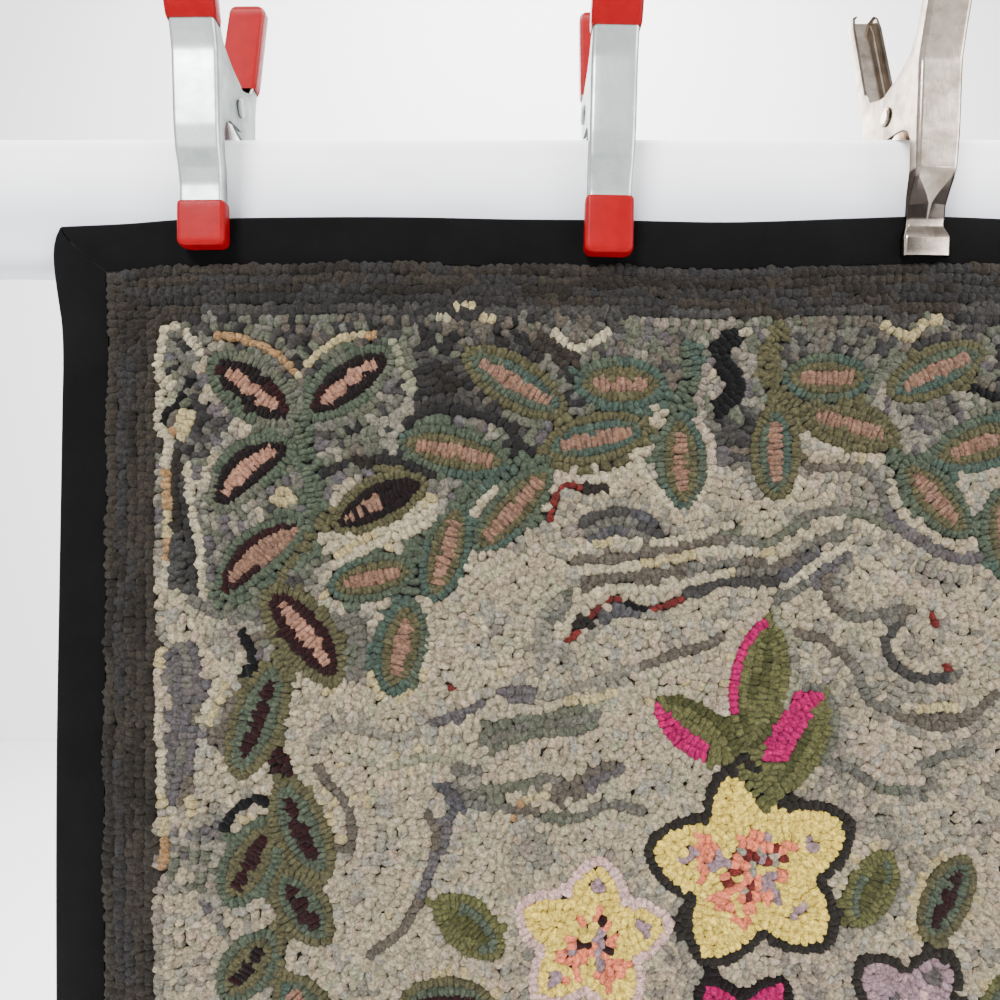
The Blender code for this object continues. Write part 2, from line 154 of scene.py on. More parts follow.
# Wool colours, red, green and blue. The cloth is dyed deeper than they are by DEPTH, because a
# bright scene's light washes colours out.
DEPTH = 1.30
BRIGHTNESS = 0.64
WOOL = {
    "bark": (0.276, 0.252, 0.224),
    "umber": (0.222, 0.200, 0.178),
    "slate": (0.322, 0.313, 0.302),
    "dusk": (0.260, 0.250, 0.245),
    "charcoal": (0.218, 0.208, 0.205),
    "black": (0.030, 0.030, 0.036),
    "pewter": (0.452, 0.442, 0.410),
    "moss_grey": (0.432, 0.437, 0.385),
    "mole": (0.430, 0.402, 0.365),
    "dove": (0.560, 0.540, 0.490),
    "lichen": (0.575, 0.568, 0.490),
    "heather": (0.562, 0.525, 0.485),
    "taupe": (0.668, 0.626, 0.546),
    "oat": (0.690, 0.650, 0.562),
    "blush_oat": (0.690, 0.636, 0.565),
    "pale_moss": (0.638, 0.622, 0.538),
    "pale_blue": (0.622, 0.604, 0.555),
    "cream": (0.715, 0.680, 0.590),
    "straw": (0.710, 0.660, 0.520),
    "tan": (0.640, 0.530, 0.400),
    "sage": (0.370, 0.402, 0.345),
    "sea": (0.340, 0.394, 0.356),
    "olive": (0.408, 0.394, 0.300),
    "leaf_olive": (0.436, 0.434, 0.298),
    "deep_olive": (0.350, 0.355, 0.225),
    "rose": (0.578, 0.466, 0.402),
    "pink_rose": (0.662, 0.520, 0.452),
    "maroon": (0.225, 0.045, 0.095),
    "dark_maroon": (0.150, 0.040, 0.075),
    "magenta": (0.715, 0.060, 0.430),
    "butter": (0.915, 0.820, 0.440),
    "pale_butter": (0.925, 0.855, 0.560),
    "salmon": (0.900, 0.560, 0.440),
    "mauve": (0.650, 0.560, 0.580),
    "pale_pink": (0.850, 0.730, 0.700),
    "rust": (0.480, 0.215, 0.200),
    "violet_grey": (0.420, 0.400, 0.400),
    "blue_grey": (0.372, 0.362, 0.368),
}
WARM_SHIFT = 0.007  # how far one loop's hue strays from its wool's
LIGHT_SHIFT = 0.055  # and how far its lightness does

# The ground's wools from dark to light: each level is mixed from the wools it names.
ToneLevel = namedtuple("ToneLevel", "light wools")
TONE_LEVELS = [
    ToneLevel(0.08, ("charcoal", "dusk", "dusk", "umber")),
    ToneLevel(0.22, ("dusk", "slate", "charcoal")),
    ToneLevel(0.36, ("slate", "pewter", "mole", "moss_grey")),
    ToneLevel(0.50, ("pewter", "dove", "moss_grey", "violet_grey")),
    ToneLevel(0.64, ("dove", "dove", "heather", "taupe")),
    ToneLevel(0.78, ("taupe", "taupe", "taupe", "blush_oat", "oat", "pale_blue")),
    ToneLevel(0.90, ("oat", "taupe", "blush_oat", "oat", "pale_moss")),
    ToneLevel(1.02, ("cream", "straw", "oat")),
]
DARK_SPREAD = 0.17  # how far a run's tone strays from its place's, on black ground
LIGHT_SPREAD = 0.11  # and on white ground
LOOP_SPREAD = 0.035  # how far a loop's tone strays from its run's
RUN_SHORT = 22.0
RUN_LONG = 120.0
DARKEST = 0.05  # how light the darkest tone spots come out
STRAY_LOOP = 0.55  # share of the loops that leave their run's wool

# How light the ground is over the part of the rug that the left and upper edges bound.
# The right and lower parts mirror it.
ToneSpot = namedtuple("ToneSpot", "along down reach light")
TONE_SPOTS = [
    ToneSpot(110, 60, 22, 0.36),
    ToneSpot(190, 62, 24, 0.36),
    ToneSpot(260, 58, 20, 0.40),
    ToneSpot(330, 57, 20, 0.40),
    ToneSpot(400, 56, 18, 0.36),
    ToneSpot(480, 56, 18, 0.34),
    ToneSpot(205, 88, 15, 0.20),
    ToneSpot(190, 112, 13, 0.40),
    ToneSpot(222, 112, 12, 0.34),
    ToneSpot(250, 122, 10, 0.20),
    ToneSpot(250, 68, 10, 0.22),
    ToneSpot(272, 84, 8, 0.12),
    ToneSpot(305, 70, 12, 0.26),
    ToneSpot(345, 72, 11, 0.36),
    ToneSpot(381, 80, 8, 0.52),
    ToneSpot(354, 84, 8, 0.50),
    ToneSpot(366, 118, 12, 0.24),
    ToneSpot(420, 68, 16, 0.26),
    ToneSpot(475, 68, 16, 0.28),
    ToneSpot(470, 112, 12, 0.30),
    ToneSpot(500, 105, 12, 0.30),
    ToneSpot(72, 75, 12, 0.38),
    ToneSpot(80, 118, 15, 0.36),
    ToneSpot(74, 145, 14, 0.44),
    ToneSpot(86, 190, 12, 0.50),
    ToneSpot(68, 214, 13, 0.82),
    ToneSpot(67, 260, 13, 0.52),
    ToneSpot(92, 240, 9, 0.78),
    ToneSpot(88, 300, 11, 0.80),
    ToneSpot(60, 304, 6, 0.48),
    ToneSpot(82, 345, 18, 0.56),
    ToneSpot(109, 226, 11, 0.34),
    ToneSpot(127, 190, 8, 0.40),
    ToneSpot(108, 186, 10, 0.34),
    ToneSpot(118, 142, 9, 0.42),
    ToneSpot(152, 122, 11, 0.40),
    ToneSpot(150, 146, 9, 0.36),
    ToneSpot(172, 175, 11, 1.02),
    ToneSpot(205, 150, 9, 0.50),
    ToneSpot(160, 228, 10, 0.50),
    ToneSpot(225, 200, 22, 0.80),
    ToneSpot(300, 185, 26, 0.80),
    ToneSpot(366, 160, 15, 0.72),
    ToneSpot(405, 155, 16, 0.80),
    ToneSpot(450, 220, 45, 0.73),
    ToneSpot(170, 310, 30, 0.84),
    ToneSpot(260, 310, 55, 0.82),
    ToneSpot(365, 240, 45, 0.82),
    ToneSpot(365, 430, 130, 0.78),
    ToneSpot(450, 310, 40, 0.70),
    ToneSpot(257, 337, 14, 0.58),
    ToneSpot(90, 420, 26, 0.62),
    ToneSpot(160, 420, 26, 0.80),
]
MIRROR_ALONG = 728.0  # a place and its mirror image add up to this
PHOTO_RIGHT = 509.0  # what lies beyond this is mirrored from the left
FULL_DOWN = 1020.0
PHOTO_LOW = 355.0

# Leaves run from base to tip, in millimetres, and bow to the left of that way.
Scheme = namedtuple("Scheme", "rim ring vein")
SCHEMES = {
    "green": Scheme(("sage", "sea"), ("olive",), ("rose",)),
    "olive": Scheme(("olive",), ("sage", "sea"), ("rose",)),
    "plain": Scheme(("olive",), ("olive",), ("rose",)),
    "wine": Scheme(("sage", "moss_grey"), ("maroon", "dark_maroon"), ("pink_rose",)),
    "wine_olive": Scheme(("olive",), ("maroon",), ("pink_rose",)),
    "dark_olive": Scheme(("olive",), ("dark_maroon",), ("dark_maroon",)),
    "wide_rose": Scheme(("sage",), ("maroon", "maroon", "rose"), ("rose", "pink_rose")),
    "vein_olive": Scheme(("olive",), ("sage",), ("maroon",)),
    "vein_green": Scheme(("sage",), ("olive",), ("maroon", "dark_maroon")),
    "bouquet": Scheme(("leaf_olive",), ("leaf_olive", "sage"), ("deep_olive",)),
}
Leaf = namedtuple("Leaf", "base tip width scheme bow", defaults=(0.0,))
CHAIN_LEAVES = [
    Leaf((129, 112), (82, 76), 34, "wine"),
    Leaf((134, 109), (182, 74), 30, "wine", 2),
    Leaf((129, 123), (84, 160), 30, "wine", -7),
    Leaf((134, 166), (87, 206), 26, "wide_rose", -5),
    Leaf((112, 200), (153, 253), 34, "wine_olive", 2),
    Leaf((149, 169), (200, 143), 27, "dark_olive", 2),
    Leaf((120, 239), (97, 303), 31, "vein_olive"),
    Leaf((122, 302), (146, 357), 31, "vein_olive", -3),
    Leaf((117, 324), (92, 372), 31, "vein_green"),
]
GARLAND_LEAVES = [
    Leaf((275, 106), (219, 73), 29, "olive"),
    Leaf((330, 90), (279, 90), 30, "green"),
    Leaf((321, 113), (262, 126), 27, "olive"),
    Leaf((336, 105), (339, 158), 28, "green"),
    Leaf((245, 134), (184, 121), 27, "green"),
    Leaf((267, 135), (226, 181), 25, "green"),
    Leaf((218, 155), (202, 208), 26, "green"),
    Leaf((194, 190), (146, 201), 25, "green"),
    Leaf((191, 206), (180, 259), 30, "green"),
]
RIGHT_LEAVES = [
    Leaf((392, 86), (441, 88), 27, "green"),
    Leaf((449, 97), (502, 72), 27, "olive"),
    Leaf((401, 104), (456, 121), 27, "plain"),
    Leaf((388, 100), (389, 153), 27, "olive"),
    Leaf((472, 133), (532, 112), 29, "green"),
    Leaf((457, 133), (493, 173), 26, "green"),
    Leaf((509, 147), (517, 200), 27, "green"),
]
SIDE_LEAVES = [
    Leaf((119, 352), (146, 393), 29, "vein_olive"),
    Leaf((117, 386), (90, 422), 29, "vein_green"),
    Leaf((121, 409), (147, 447), 29, "olive"),
    Leaf((118, 441), (91, 474), 29, "wine"),
    Leaf((121, 466), (145, 501), 29, "vein_olive"),
]
BOUQUET_LEAVES = [
    Leaf((432, 385), (450, 343), 26, "bouquet"),
    Leaf((470, 392), (491, 345), 26, "vein_olive"),
    Leaf((498, 430), (542, 405), 28, "bouquet"),
    Leaf((500, 452), (548, 462), 28, "green"),
    Leaf((488, 520), (535, 548), 28, "bouquet"),
    Leaf((240, 400), (205, 368), 28, "bouquet"),
    Leaf((236, 425), (184, 425), 28, "vein_olive"),
    Leaf((248, 470), (196, 492), 28, "bouquet"),
    Leaf((252, 540), (205, 575), 28, "green"),
    Leaf((300, 622), (262, 668), 28, "bouquet"),
    Leaf((430, 618), (472, 662), 28, "bouquet"),
    Leaf((372, 640), (366, 700), 27, "vein_olive"),
]

# A bud is a leaf that is magenta on one side: to the left of the way from base to tip, or
# to the right of it.
Bud = namedtuple("Bud", "base tip width side rows")
BUDS = [
    Bud((368, 294), (324, 262), 28, 1, 2),
    Bud((375, 288), (385, 217), 32, 1, 1),
    Bud((386, 314), (415, 257), 31, 1, 3),
    Bud((330, 640), (312, 702), 30, 1, 2),
    Bud((408, 640), (424, 704), 30, -1, 3),
]

# A line of rows in a few wools, through its places.
THIN = 3.0
Streak = namedtuple("Streak", "wools places rows wide", defaults=(1, ROW))
STEMS = [
    Streak(("sage",), ((130, 109), (134, 123), (137, 139), (140, 158)), 2),
    Streak(("sage", "olive"), ((142, 160), (133, 177), (122, 190), (116, 202)), 2),
    Streak(("olive",), ((116, 226), (122, 240), (124, 262), (120, 288))),
    Streak(("maroon",), ((114, 286), (119, 294), (124, 303)), 2),
    Streak(("sage",), ((267, 131), (252, 131), (243, 135))),
    Streak(("sage", "sea"), ((242, 137), (231, 143), (221, 152)), 2),
    Streak(("sage",), ((212, 162), (202, 172), (193, 182), (190, 204)), 2),
    Streak(("sage", "sea"), ((341, 68), (343, 80), (341, 92), (335, 102)), 2),
    Streak(("olive",), ((393, 62), (383, 76), (388, 91), (400, 103)), 2),
    Streak(("sage",), ((449, 129), (460, 135), (474, 133)), 2),
    Streak(("olive", "sage"), ((120, 340), (118, 368), (121, 396), (118, 424)), 1),
    Streak(("sage", "olive"), ((118, 424), (122, 452), (119, 480), (120, 510)), 1),
]
# A spot of pale wool in the dark leaf, hooked before the leaves.
LEAF_SPOT = Streak(("rose",), ((155, 165), (164, 160), (175, 155)), 1, 6.5)
BOUQUET_STEM = Streak(("leaf_olive",), ((374, 284), (377, 297), (383, 307), (390, 317)), 4)

# Lines of other wools in the ground, with their places. The ground's rows run along them.
STREAKS = [
    Streak(("black",), ((71, 86), (69, 93), (64, 100), (58, 106), (56, 112))),
    Streak(("black",), ((100, 223), (103, 231), (106, 238), (104, 246), (98, 246)), 1, 6.5),
    Streak(("black",), ((90, 331), (95, 322), (102, 316), (109, 314), (115, 319))),
    Streak(("black",), ((369, 62), (358, 70), (360, 79), (367, 87), (365, 96), (355, 104)), 2),
    Streak(("black",), ((494, 93), (508, 98), (521, 101))),
    Streak(("cream",), ((58, 58), (56, 69), (54, 83), (56, 91), (54, 112), (60, 121), (58, 136))),
    Streak(("cream", "straw", "tan"), ((58, 136), (59, 148), (59, 164), (59, 182), (58, 200))),
    Streak(("dusk", "umber", "slate"), ((64, 131), (64, 148), (65, 166), (66, 184), (67, 202)), 1, 5.0),
    Streak(("dusk", "slate", "mole"), ((66, 131), (68, 150), (71, 170), (73, 187), (74, 204)), 1, 4.0),
    Streak(("cream", "straw"), ((70, 132), (71, 148), (75, 169), (78, 187), (79, 202))),
    Streak(("cream",), ((60, 59), (66, 60), (71, 66), (76, 71), (77, 76))),
    Streak(("mole", "dusk", "pewter"), ((71, 206), (79, 210), (88, 216))),
    Streak(("sage", "moss_grey"), ((141, 178), (128, 190), (113, 204), (98, 213))),
    Streak(("slate", "pewter", "moss_grey"), ((139, 184), (129, 194), (119, 204)), 2),
    Streak(
        ("cream", "straw", "blush_oat"),
        ((56, 232), (55, 246), (56, 262), (55, 272), (57, 290), (57, 318)),
    ),
    Streak(
        ("violet_grey", "mole", "pewter", "violet_grey"),
        ((69, 232), (71, 250), (70, 268), (68, 288), (64, 312)),
        3,
    ),
    Streak(("straw", "cream", "tan"), ((90, 250), (85, 261), (80, 273)), 2),
    Streak(("mole", "violet_grey"), ((93, 258), (89, 270), (86, 284)), 2),
    Streak(("straw", "cream"), ((71, 299), (72, 311), (74, 323))),
    Streak(("cream", "straw", "tan"), ((58, 323), (59, 337), (58, 352))),
    Streak(("lichen", "cream"), ((56, 88), (60, 94), (57, 100)), 2),
    Streak(("tan", "straw"), ((70, 105), (68, 112), (63, 119)), 2),
    Streak(
        ("tan", "straw", "dove"),
        ((84, 65), (96, 65), (106, 69), (115, 73), (123, 79), (131, 89)),
        1,
        4.0,
    ),
    Streak(("straw", "tan"), ((134, 82), (146, 71), (156, 66), (173, 65)), 1, 4.0),
    Streak(("oat", "cream", "blush_oat"), ((346, 107), (354, 124), (352, 142), (344, 157))),
    Streak(("oat", "cream", "blush_oat"), ((326, 106), (317, 117), (315, 131), (322, 145), (333, 157))),
    Streak(("oat", "cream", "blush_oat"), ((268, 139), (287, 142), (304, 138), (314, 131))),
    Streak(("oat", "cream", "blush_oat"), ((266, 147), (259, 160), (253, 170), (241, 179), (228, 184))),
    Streak(("oat", "blush_oat"), ((238, 146), (227, 157), (222, 169), (224, 181))),
    Streak(("straw", "cream"), ((225, 185), (219, 193), (209, 204), (199, 209))),
    Streak(("straw", "cream", "oat"), ((195, 205), (201, 219), (201, 235), (196, 251))),
    Streak(("tan", "straw"), ((117, 150), (122, 153), (127, 150)), 2),
    Streak(("straw", "cream"), ((204, 53), (220, 51), (237, 53)), 2),
    Streak(("cream",), ((267, 61), (274, 68), (282, 71), (291, 67), (299, 60))),
    Streak(("umber", "bark"), ((258, 66), (268, 71), (277, 79)), 2),
    Streak(("charcoal",), ((187, 113), (202, 105), (225, 106), (243, 113), (251, 124), (265, 131))),
    Streak(("charcoal", "umber"), ((147, 138), (165, 132), (185, 133), (204, 141))),
    Streak(("dove", "lichen"), ((182, 70), (186, 82), (192, 92), (188, 104), (176, 112))),
    Streak(("cream", "straw"), ((149, 184), (169, 173), (191, 165), (206, 156)), 3),
    Streak(
        ("rust", "umber"),
        ((266, 164), (269, 153), (273, 146), (279, 145), (287, 148), (296, 145)),
        1,
        THIN,
    ),
    Streak(("blue_grey", "slate", "pewter"), ((285, 171), (297, 165), (311, 165), (322, 170)), 3),
    Streak(
        ("straw", "oat", "cream"),
        ((278, 181), (290, 177), (306, 175), (326, 176), (347, 171), (366, 165)),
    ),
    Streak(
        ("mole", "pewter", "dove"),
        ((277, 186), (292, 185), (306, 184), (331, 179), (357, 174), (380, 175)),
    ),
    Streak(("cream", "straw", "oat"), ((281, 191), (303, 190), (331, 185), (357, 180), (388, 181))),
    Streak(
        ("mole", "pewter", "mole"),
        ((284, 197), (300, 195), (325, 193), (345, 189), (366, 186), (392, 188)),
    ),
    Streak(
        ("straw", "cream", "oat"),
        ((274, 224), (281, 212), (288, 205), (300, 201), (325, 201), (350, 195), (368, 191)),
    ),
    Streak(("rust",), ((275, 231), (283, 223)), 1, THIN),
    Streak(("umber",), ((283, 222), (288, 217)), 1, THIN),
    Streak(("rust",), ((288, 216), (293, 211)), 1, THIN),
    Streak(("rust",), ((297, 207), (306, 207)), 1, THIN),
    Streak(("black",), ((307, 208), (313, 211), (319, 212)), 1, THIN),
    Streak(("rust",), ((320, 212), (326, 211), (332, 209), (339, 206)), 1, THIN),
    Streak(("oat", "cream"), ((372, 187), (384, 185), (392, 182), (402, 174))),
    Streak(
        ("mole", "pewter", "violet_grey"),
        ((352, 192), (368, 191), (384, 191), (394, 187), (404, 178), (414, 174), (426, 172)),
    ),
    Streak(
        ("blue_grey", "slate", "mole"),
        ((344, 205), (356, 198), (368, 197), (381, 198), (392, 195), (402, 187), (413, 180)),
    ),
    Streak(("cream", "oat"), ((392, 201), (402, 194), (414, 186), (421, 181), (430, 178))),
    Streak(
        ("pewter", "mole", "violet_grey"),
        ((388, 208), (401, 201), (413, 192), (422, 186), (429, 182)),
    ),
    Streak(
        ("mole", "pewter", "slate"),
        ((418, 192), (416, 201), (421, 211), (430, 217), (445, 215), (454, 213), (464, 213)),
    ),
    Streak(
        ("slate", "pewter", "blue_grey"),
        ((455, 221), (448, 229), (451, 240), (461, 248), (474, 250), (486, 249)),
    ),
    Streak(
        ("pewter", "violet_grey", "mole"),
        (
            (403, 226), (414, 228), (422, 235), (430, 241), (435, 250), (439, 261), (451, 267),
            (468, 274), (488, 274), (508, 257),
        ),
    ),
    Streak(("straw", "oat"), ((464, 266), (476, 265), (487, 265))),
    Streak(
        ("pewter", "moss_grey", "slate"),
        ((420, 295), (433, 301), (445, 309), (461, 310), (475, 306)),
    ),
    Streak(("pewter", "dove"), ((466, 297), (479, 291), (494, 288))),
    Streak(
        ("dove", "moss_grey", "pewter"),
        ((404, 254), (414, 256), (420, 265), (420, 281), (416, 293)),
    ),
    Streak(
        ("dove", "moss_grey", "lichen"),
        ((389, 216), (397, 228), (399, 246), (395, 260), (387, 268)),
    ),
    Streak(
        ("blue_grey", "pewter", "dove"),
        ((286, 229), (295, 219), (304, 213), (317, 215), (331, 216)),
    ),
    Streak(
        ("moss_grey", "pewter", "dove", "blue_grey"),
        ((263, 238), (262, 224), (267, 214), (277, 205)),
        2,
    ),
    Streak(
        ("violet_grey", "mole", "dove"),
        (
            (240, 257), (255, 256), (266, 259), (286, 253), (305, 247), (322, 241), (338, 235),
            (352, 232), (361, 225),
        ),
    ),
    Streak(("tan", "straw", "taupe"), ((240, 264), (256, 267), (274, 263), (292, 260), (311, 254))),
    Streak(
        ("lichen", "moss_grey", "pewter"),
        ((231, 286), (243, 279), (256, 275), (274, 274), (292, 270)),
        3,
    ),
    Streak(("violet_grey", "dove"), ((202, 274), (218, 269), (231, 263))),
    Streak(("straw", "tan", "oat"), ((206, 279), (218, 276), (228, 272))),
    Streak(
        ("violet_grey", "dove", "pewter"),
        ((139, 290), (138, 283), (146, 278), (153, 275), (168, 278), (184, 281), (196, 278)),
    ),
    Streak(
        ("violet_grey", "mole", "dove"),
        ((141, 296), (145, 304), (153, 313), (158, 322), (159, 334), (156, 348)),
    ),
    Streak(
        ("moss_grey", "lichen", "pewter"),
        ((180, 297), (193, 294), (206, 293), (218, 298), (230, 301)),
    ),
    Streak(
        ("violet_grey", "blue_grey"),
        ((206, 308), (211, 311), (217, 317), (212, 324), (210, 332), (208, 345)),
    ),
    Streak(("mole", "pewter"), ((218, 308), (224, 318), (238, 320), (250, 322), (258, 319))),
    Streak(("straw", "tan"), ((246, 327), (252, 316), (265, 313)), 1),
    Streak(
        ("pewter", "moss_grey", "dove"),
        ((218, 303), (231, 310), (249, 308), (262, 304), (274, 305)),
    ),
    Streak(("mole", "violet_grey"), ((270, 312), (283, 307), (293, 302), (303, 298)), 2),
    Streak(("straw", "oat"), ((277, 322), (287, 316), (294, 312))),
    Streak(
        ("mole", "pewter", "moss_grey"),
        ((262, 325), (276, 327), (287, 324), (295, 318), (306, 319), (318, 323)),
    ),
    Streak(("pewter", "mole", "moss_grey"), ((157, 214), (161, 226), (162, 238), (157, 250)), 2),
    Streak(
        ("moss_grey", "pewter", "lichen"),
        ((362, 168), (373, 175), (384, 177), (392, 172), (402, 165)),
    ),
    Streak(
        ("pewter", "moss_grey", "mole"),
        ((403, 162), (411, 160), (423, 159), (436, 161), (449, 168)),
    ),
    Streak(
        ("violet_grey", "mole", "pewter"),
        (
            (404, 133), (414, 136), (427, 135), (438, 138), (445, 146), (449, 158), (457, 170),
            (468, 177), (481, 184), (497, 186),
        ),
    ),
    Streak(("oat", "cream", "oat"), ((451, 143), (454, 154), (461, 164), (472, 172), (486, 179))),
    Streak(("rust",), ((473, 215), (475, 221)), 1, THIN),
    Streak(("rust",), ((480, 243), (483, 245)), 1, THIN),
    Streak(("rust",), ((210, 338), (212, 343)), 1, THIN),
    Streak(("rust",), ((211, 253), (214, 257)), 1, THIN),
    Streak(("straw",), ((446, 59), (455, 64), (463, 66), (470, 58), (480, 57))),
]
FLOW_LINES = [
    Streak(("violet_grey", "mole"), ((168, 400), (190, 380), (205, 340), (200, 322))),
    Streak(("moss_grey", "dove"), ((160, 470), (182, 452), (196, 460), (215, 520), (208, 560))),
    Streak(("mole", "pewter"), ((560, 420), (575, 450), (566, 490), (580, 530))),
    Streak(("violet_grey", "dove"), ((520, 360), (545, 340), (575, 350), (590, 400))),
    Streak(("blue_grey", "pewter"), ((230, 640), (250, 700), (300, 730), (360, 735))),
    Streak(("mole", "dove"), ((400, 735), (450, 720), (500, 680), (520, 620))),
    Streak(("rust", "mole"), ((470, 760), (500, 745), (520, 720))),
]

# Flowers with pointed petals. turn is the first petal's angle in degrees.
Flower = namedtuple("Flower", "along down radius petals turn outline body flush vein heart")
FLOWERS = [
    Flower(377, 353, 61, 5, 26, "umber", "butter", "salmon", "mauve", "rust"),
    Flower(289, 392, 46, 5, 84, "pale_pink", "butter", "salmon", "mauve", "maroon"),
    Flower(462, 432, 42, 5, 60, "umber", "mauve", "pale_pink", "violet_grey", "straw"),
    Flower(372, 452, 45, 6, 0, "dark_maroon", "magenta", "rose", "maroon", "butter"),
    Flower(292, 478, 42, 5, 40, "umber", "pale_pink", "rose", "salmon", "rust"),
    Flower(440, 530, 46, 5, 15, "umber", "butter", "salmon", "rust", "maroon"),
    Flower(310, 570, 44, 5, 75, "dark_maroon", "salmon", "pale_pink", "rose", "butter"),
    Flower(378, 600, 38, 5, 100, "umber", "pale_butter", "mauve", "violet_grey", "rust"),
]
OUTLINE_ROWS = 1
PETAL_DEPTH = 0.36  # share of the radius between a petal's tip and the dip beside it


def smooth_step(value):
    value = np.clip(value, 0.0, 1.0)
    return value * value * (3 - 2 * value)


def edge_out(rows, along):
    """How far an edge stands out at distances along it: a smooth curve through the rows."""
    at = np.array([row.along for row in rows])
    out = np.array([row.out for row in rows])
    slope = np.gradient(out, edge_order=1)
    slope[1:-1] = (out[2:] - out[:-2]) / (at[2:] - at[:-2])
    slope[0] = (out[1] - out[0]) / (at[1] - at[0])
    slope[-1] = (out[-1] - out[-2]) / (at[-1] - at[-2])
    along = np.clip(along, at[0], at[-1])
    i = np.clip(np.searchsorted(at, along) - 1, 0, len(rows) - 2)
    span = at[i + 1] - at[i]
    u = (along - at[i]) / span
    bend = (1 - u) ** 2 * u * slope[i] - (1 - u) * u**2 * slope[i + 1]
    return out[i] + (out[i + 1] - out[i]) * smooth_step(u) + bend * span


def fade(distance, reach):
    """1 at an edge, falling smoothly to 0 at a reach from it."""
    return 1 - smooth_step(distance / reach)


def billow(along, down):
    """How far the hanging cloth stands out of its plane."""
    hold = smooth_step((down - BILLOW_START) / BILLOW_FULL)
    broad = BROAD_BILLOW * np.sin(math.tau * along / BROAD_LENGTH + BROAD_PHASE)
    fine = FINE_BILLOW * np.sin(math.tau * (along / FINE_LENGTH + FINE_LEAN * down))
    low = fade(RUG_HEIGHT - down, CURL_REACH)
    side = fade(along, CURL_REACH) + fade(RUG_WIDTH - along, CURL_REACH)
    return hold * (broad + fine) + CORNER_CURL * low * side


def hang(along, down, depth):
    """The places of points of the rug, in metres: along from its left edge, down from its top
    edge and depth out from its back, as the rug hangs."""
    along, down, depth = np.broadcast_arrays(
        np.asarray(along, float), np.asarray(down, float), np.asarray(depth, float)
    )
    left = edge_out(SIDE_EDGE, down) * fade(along, SIDE_REACH)
    right = edge_out(SIDE_EDGE, down) * fade(RUG_WIDTH - along, SIDE_REACH)
    rise = edge_out(TOP_EDGE, along) * fade(down, TOP_REACH)
    wave = BOTTOM_WAVE * np.sin(math.tau * along / BOTTOM_WAVE_LENGTH + BOTTOM_WAVE_PHASE)
    drop = wave * fade(RUG_HEIGHT - down, TOP_REACH)
    x = along - RUG_WIDTH / 2 - left + right
    y = RUG_BACK_Y - depth - billow(along, down)
    z = RUG_TOP_Z - down + rise - drop
    return np.stack((x, y, z), axis=-1)


def linear(colour):
    """A colour as it looks, turned into the renderer's linear values."""
    colour = np.asarray(colour, float)
    return np.where(colour <= 0.04045, colour / 12.92, ((colour + 0.055) / 1.055) ** 2.4)


def curve_through(places, step=1.0):
    """A smooth line through places, as points about a step apart."""
    known = np.array(places, float)
    if len(known) == 2:
        count = max(2, int(np.linalg.norm(known[1] - known[0]) / step) + 1)
        return known[0] + (known[1] - known[0]) * np.linspace(0, 1, count)[:, None]
    before = np.vstack((2 * known[0] - known[1], known[:-1]))
    after = np.vstack((known[1:], 2 * known[-1] - known[-2]))
    slope = (after - before) / 2
    points = [known[:1]]
    for i in range(len(known) - 1):
        count = max(2, int(np.linalg.norm(known[i + 1] - known[i]) / step) + 1)
        u = np.linspace(0, 1, count + 1)[1:, None]
        points.append(
            (2 * u**3 - 3 * u**2 + 1) * known[i]
            + (u**3 - 2 * u**2 + u) * slope[i]
            + (3 * u**2 - 2 * u**3) * known[i + 1]
            + (u**3 - u**2) * slope[i + 1]
        )
    return np.vstack(points)


def beside(points, offset):
    """A line moved sideways, to the left of its way."""
    way = np.gradient(points, axis=0)
    way /= np.maximum(np.linalg.norm(way, axis=1), 1e-9)[:, None]
    return points + offset * np.stack((way[:, 1], -way[:, 0]), axis=1)


def evenly(points, pitch, chance):
    """Points a pitch apart along a line, a little uneven, and the way the line runs there."""
    steps = np.linalg.norm(np.diff(points, axis=0), axis=1)
    run = np.concatenate(([0.0], np.cumsum(steps)))
    count = max(1, int(round(run[-1] / pitch)))
    at = (np.arange(count) + 0.5) * run[-1] / count
    at = at + np.array([chance.uniform(-0.12, 0.12) for _ in at]) * pitch
    places = np.stack([np.interp(at, run, points[:, k]) for k in (0, 1)], axis=1)
    ahead = np.stack([np.interp(at + 1.5, run, points[:, k]) for k in (0, 1)], axis=1)
    behind = np.stack([np.interp(at - 1.5, run, points[:, k]) for k in (0, 1)], axis=1)
    turns = np.arctan2(*(ahead - behind)[:, ::-1].T)
    return places, turns, at


# One wool loop: its place, the way its row runs, its size along and across the row, and its
# wool's name.
Loop = namedtuple("Loop", "along down turn pitch across wool")


class Hooking:
    """The loops hooked so far, with square cells that find those near a place."""

    CELL = 6.0

    def __init__(self):
        self.loops = []
        self.cells = {}
        self.seeds = []
        self.owners = []

    def crowded(self, along, down, clearance):
        i, j = int(along // self.CELL), int(down // self.CELL)
        for ci in (i - 1, i, i + 1):
            for cj in (j - 1, j, j + 1):
                for x, y in self.cells.get((ci, cj), ()):
                    if (x - along) ** 2 + (y - down) ** 2 < clearance * clearance:
                        return True
        return False

    def add(self, loop):
        cell = (int(loop.along // self.CELL), int(loop.down // self.CELL))
        self.cells.setdefault(cell, []).append((loop.along, loop.down))
        self.loops.append(loop)

    def seed(self, points, owner):
        """Has the ground's rows follow a line."""
        self.seeds.extend(points)
        self.owners.extend([owner] * len(points))


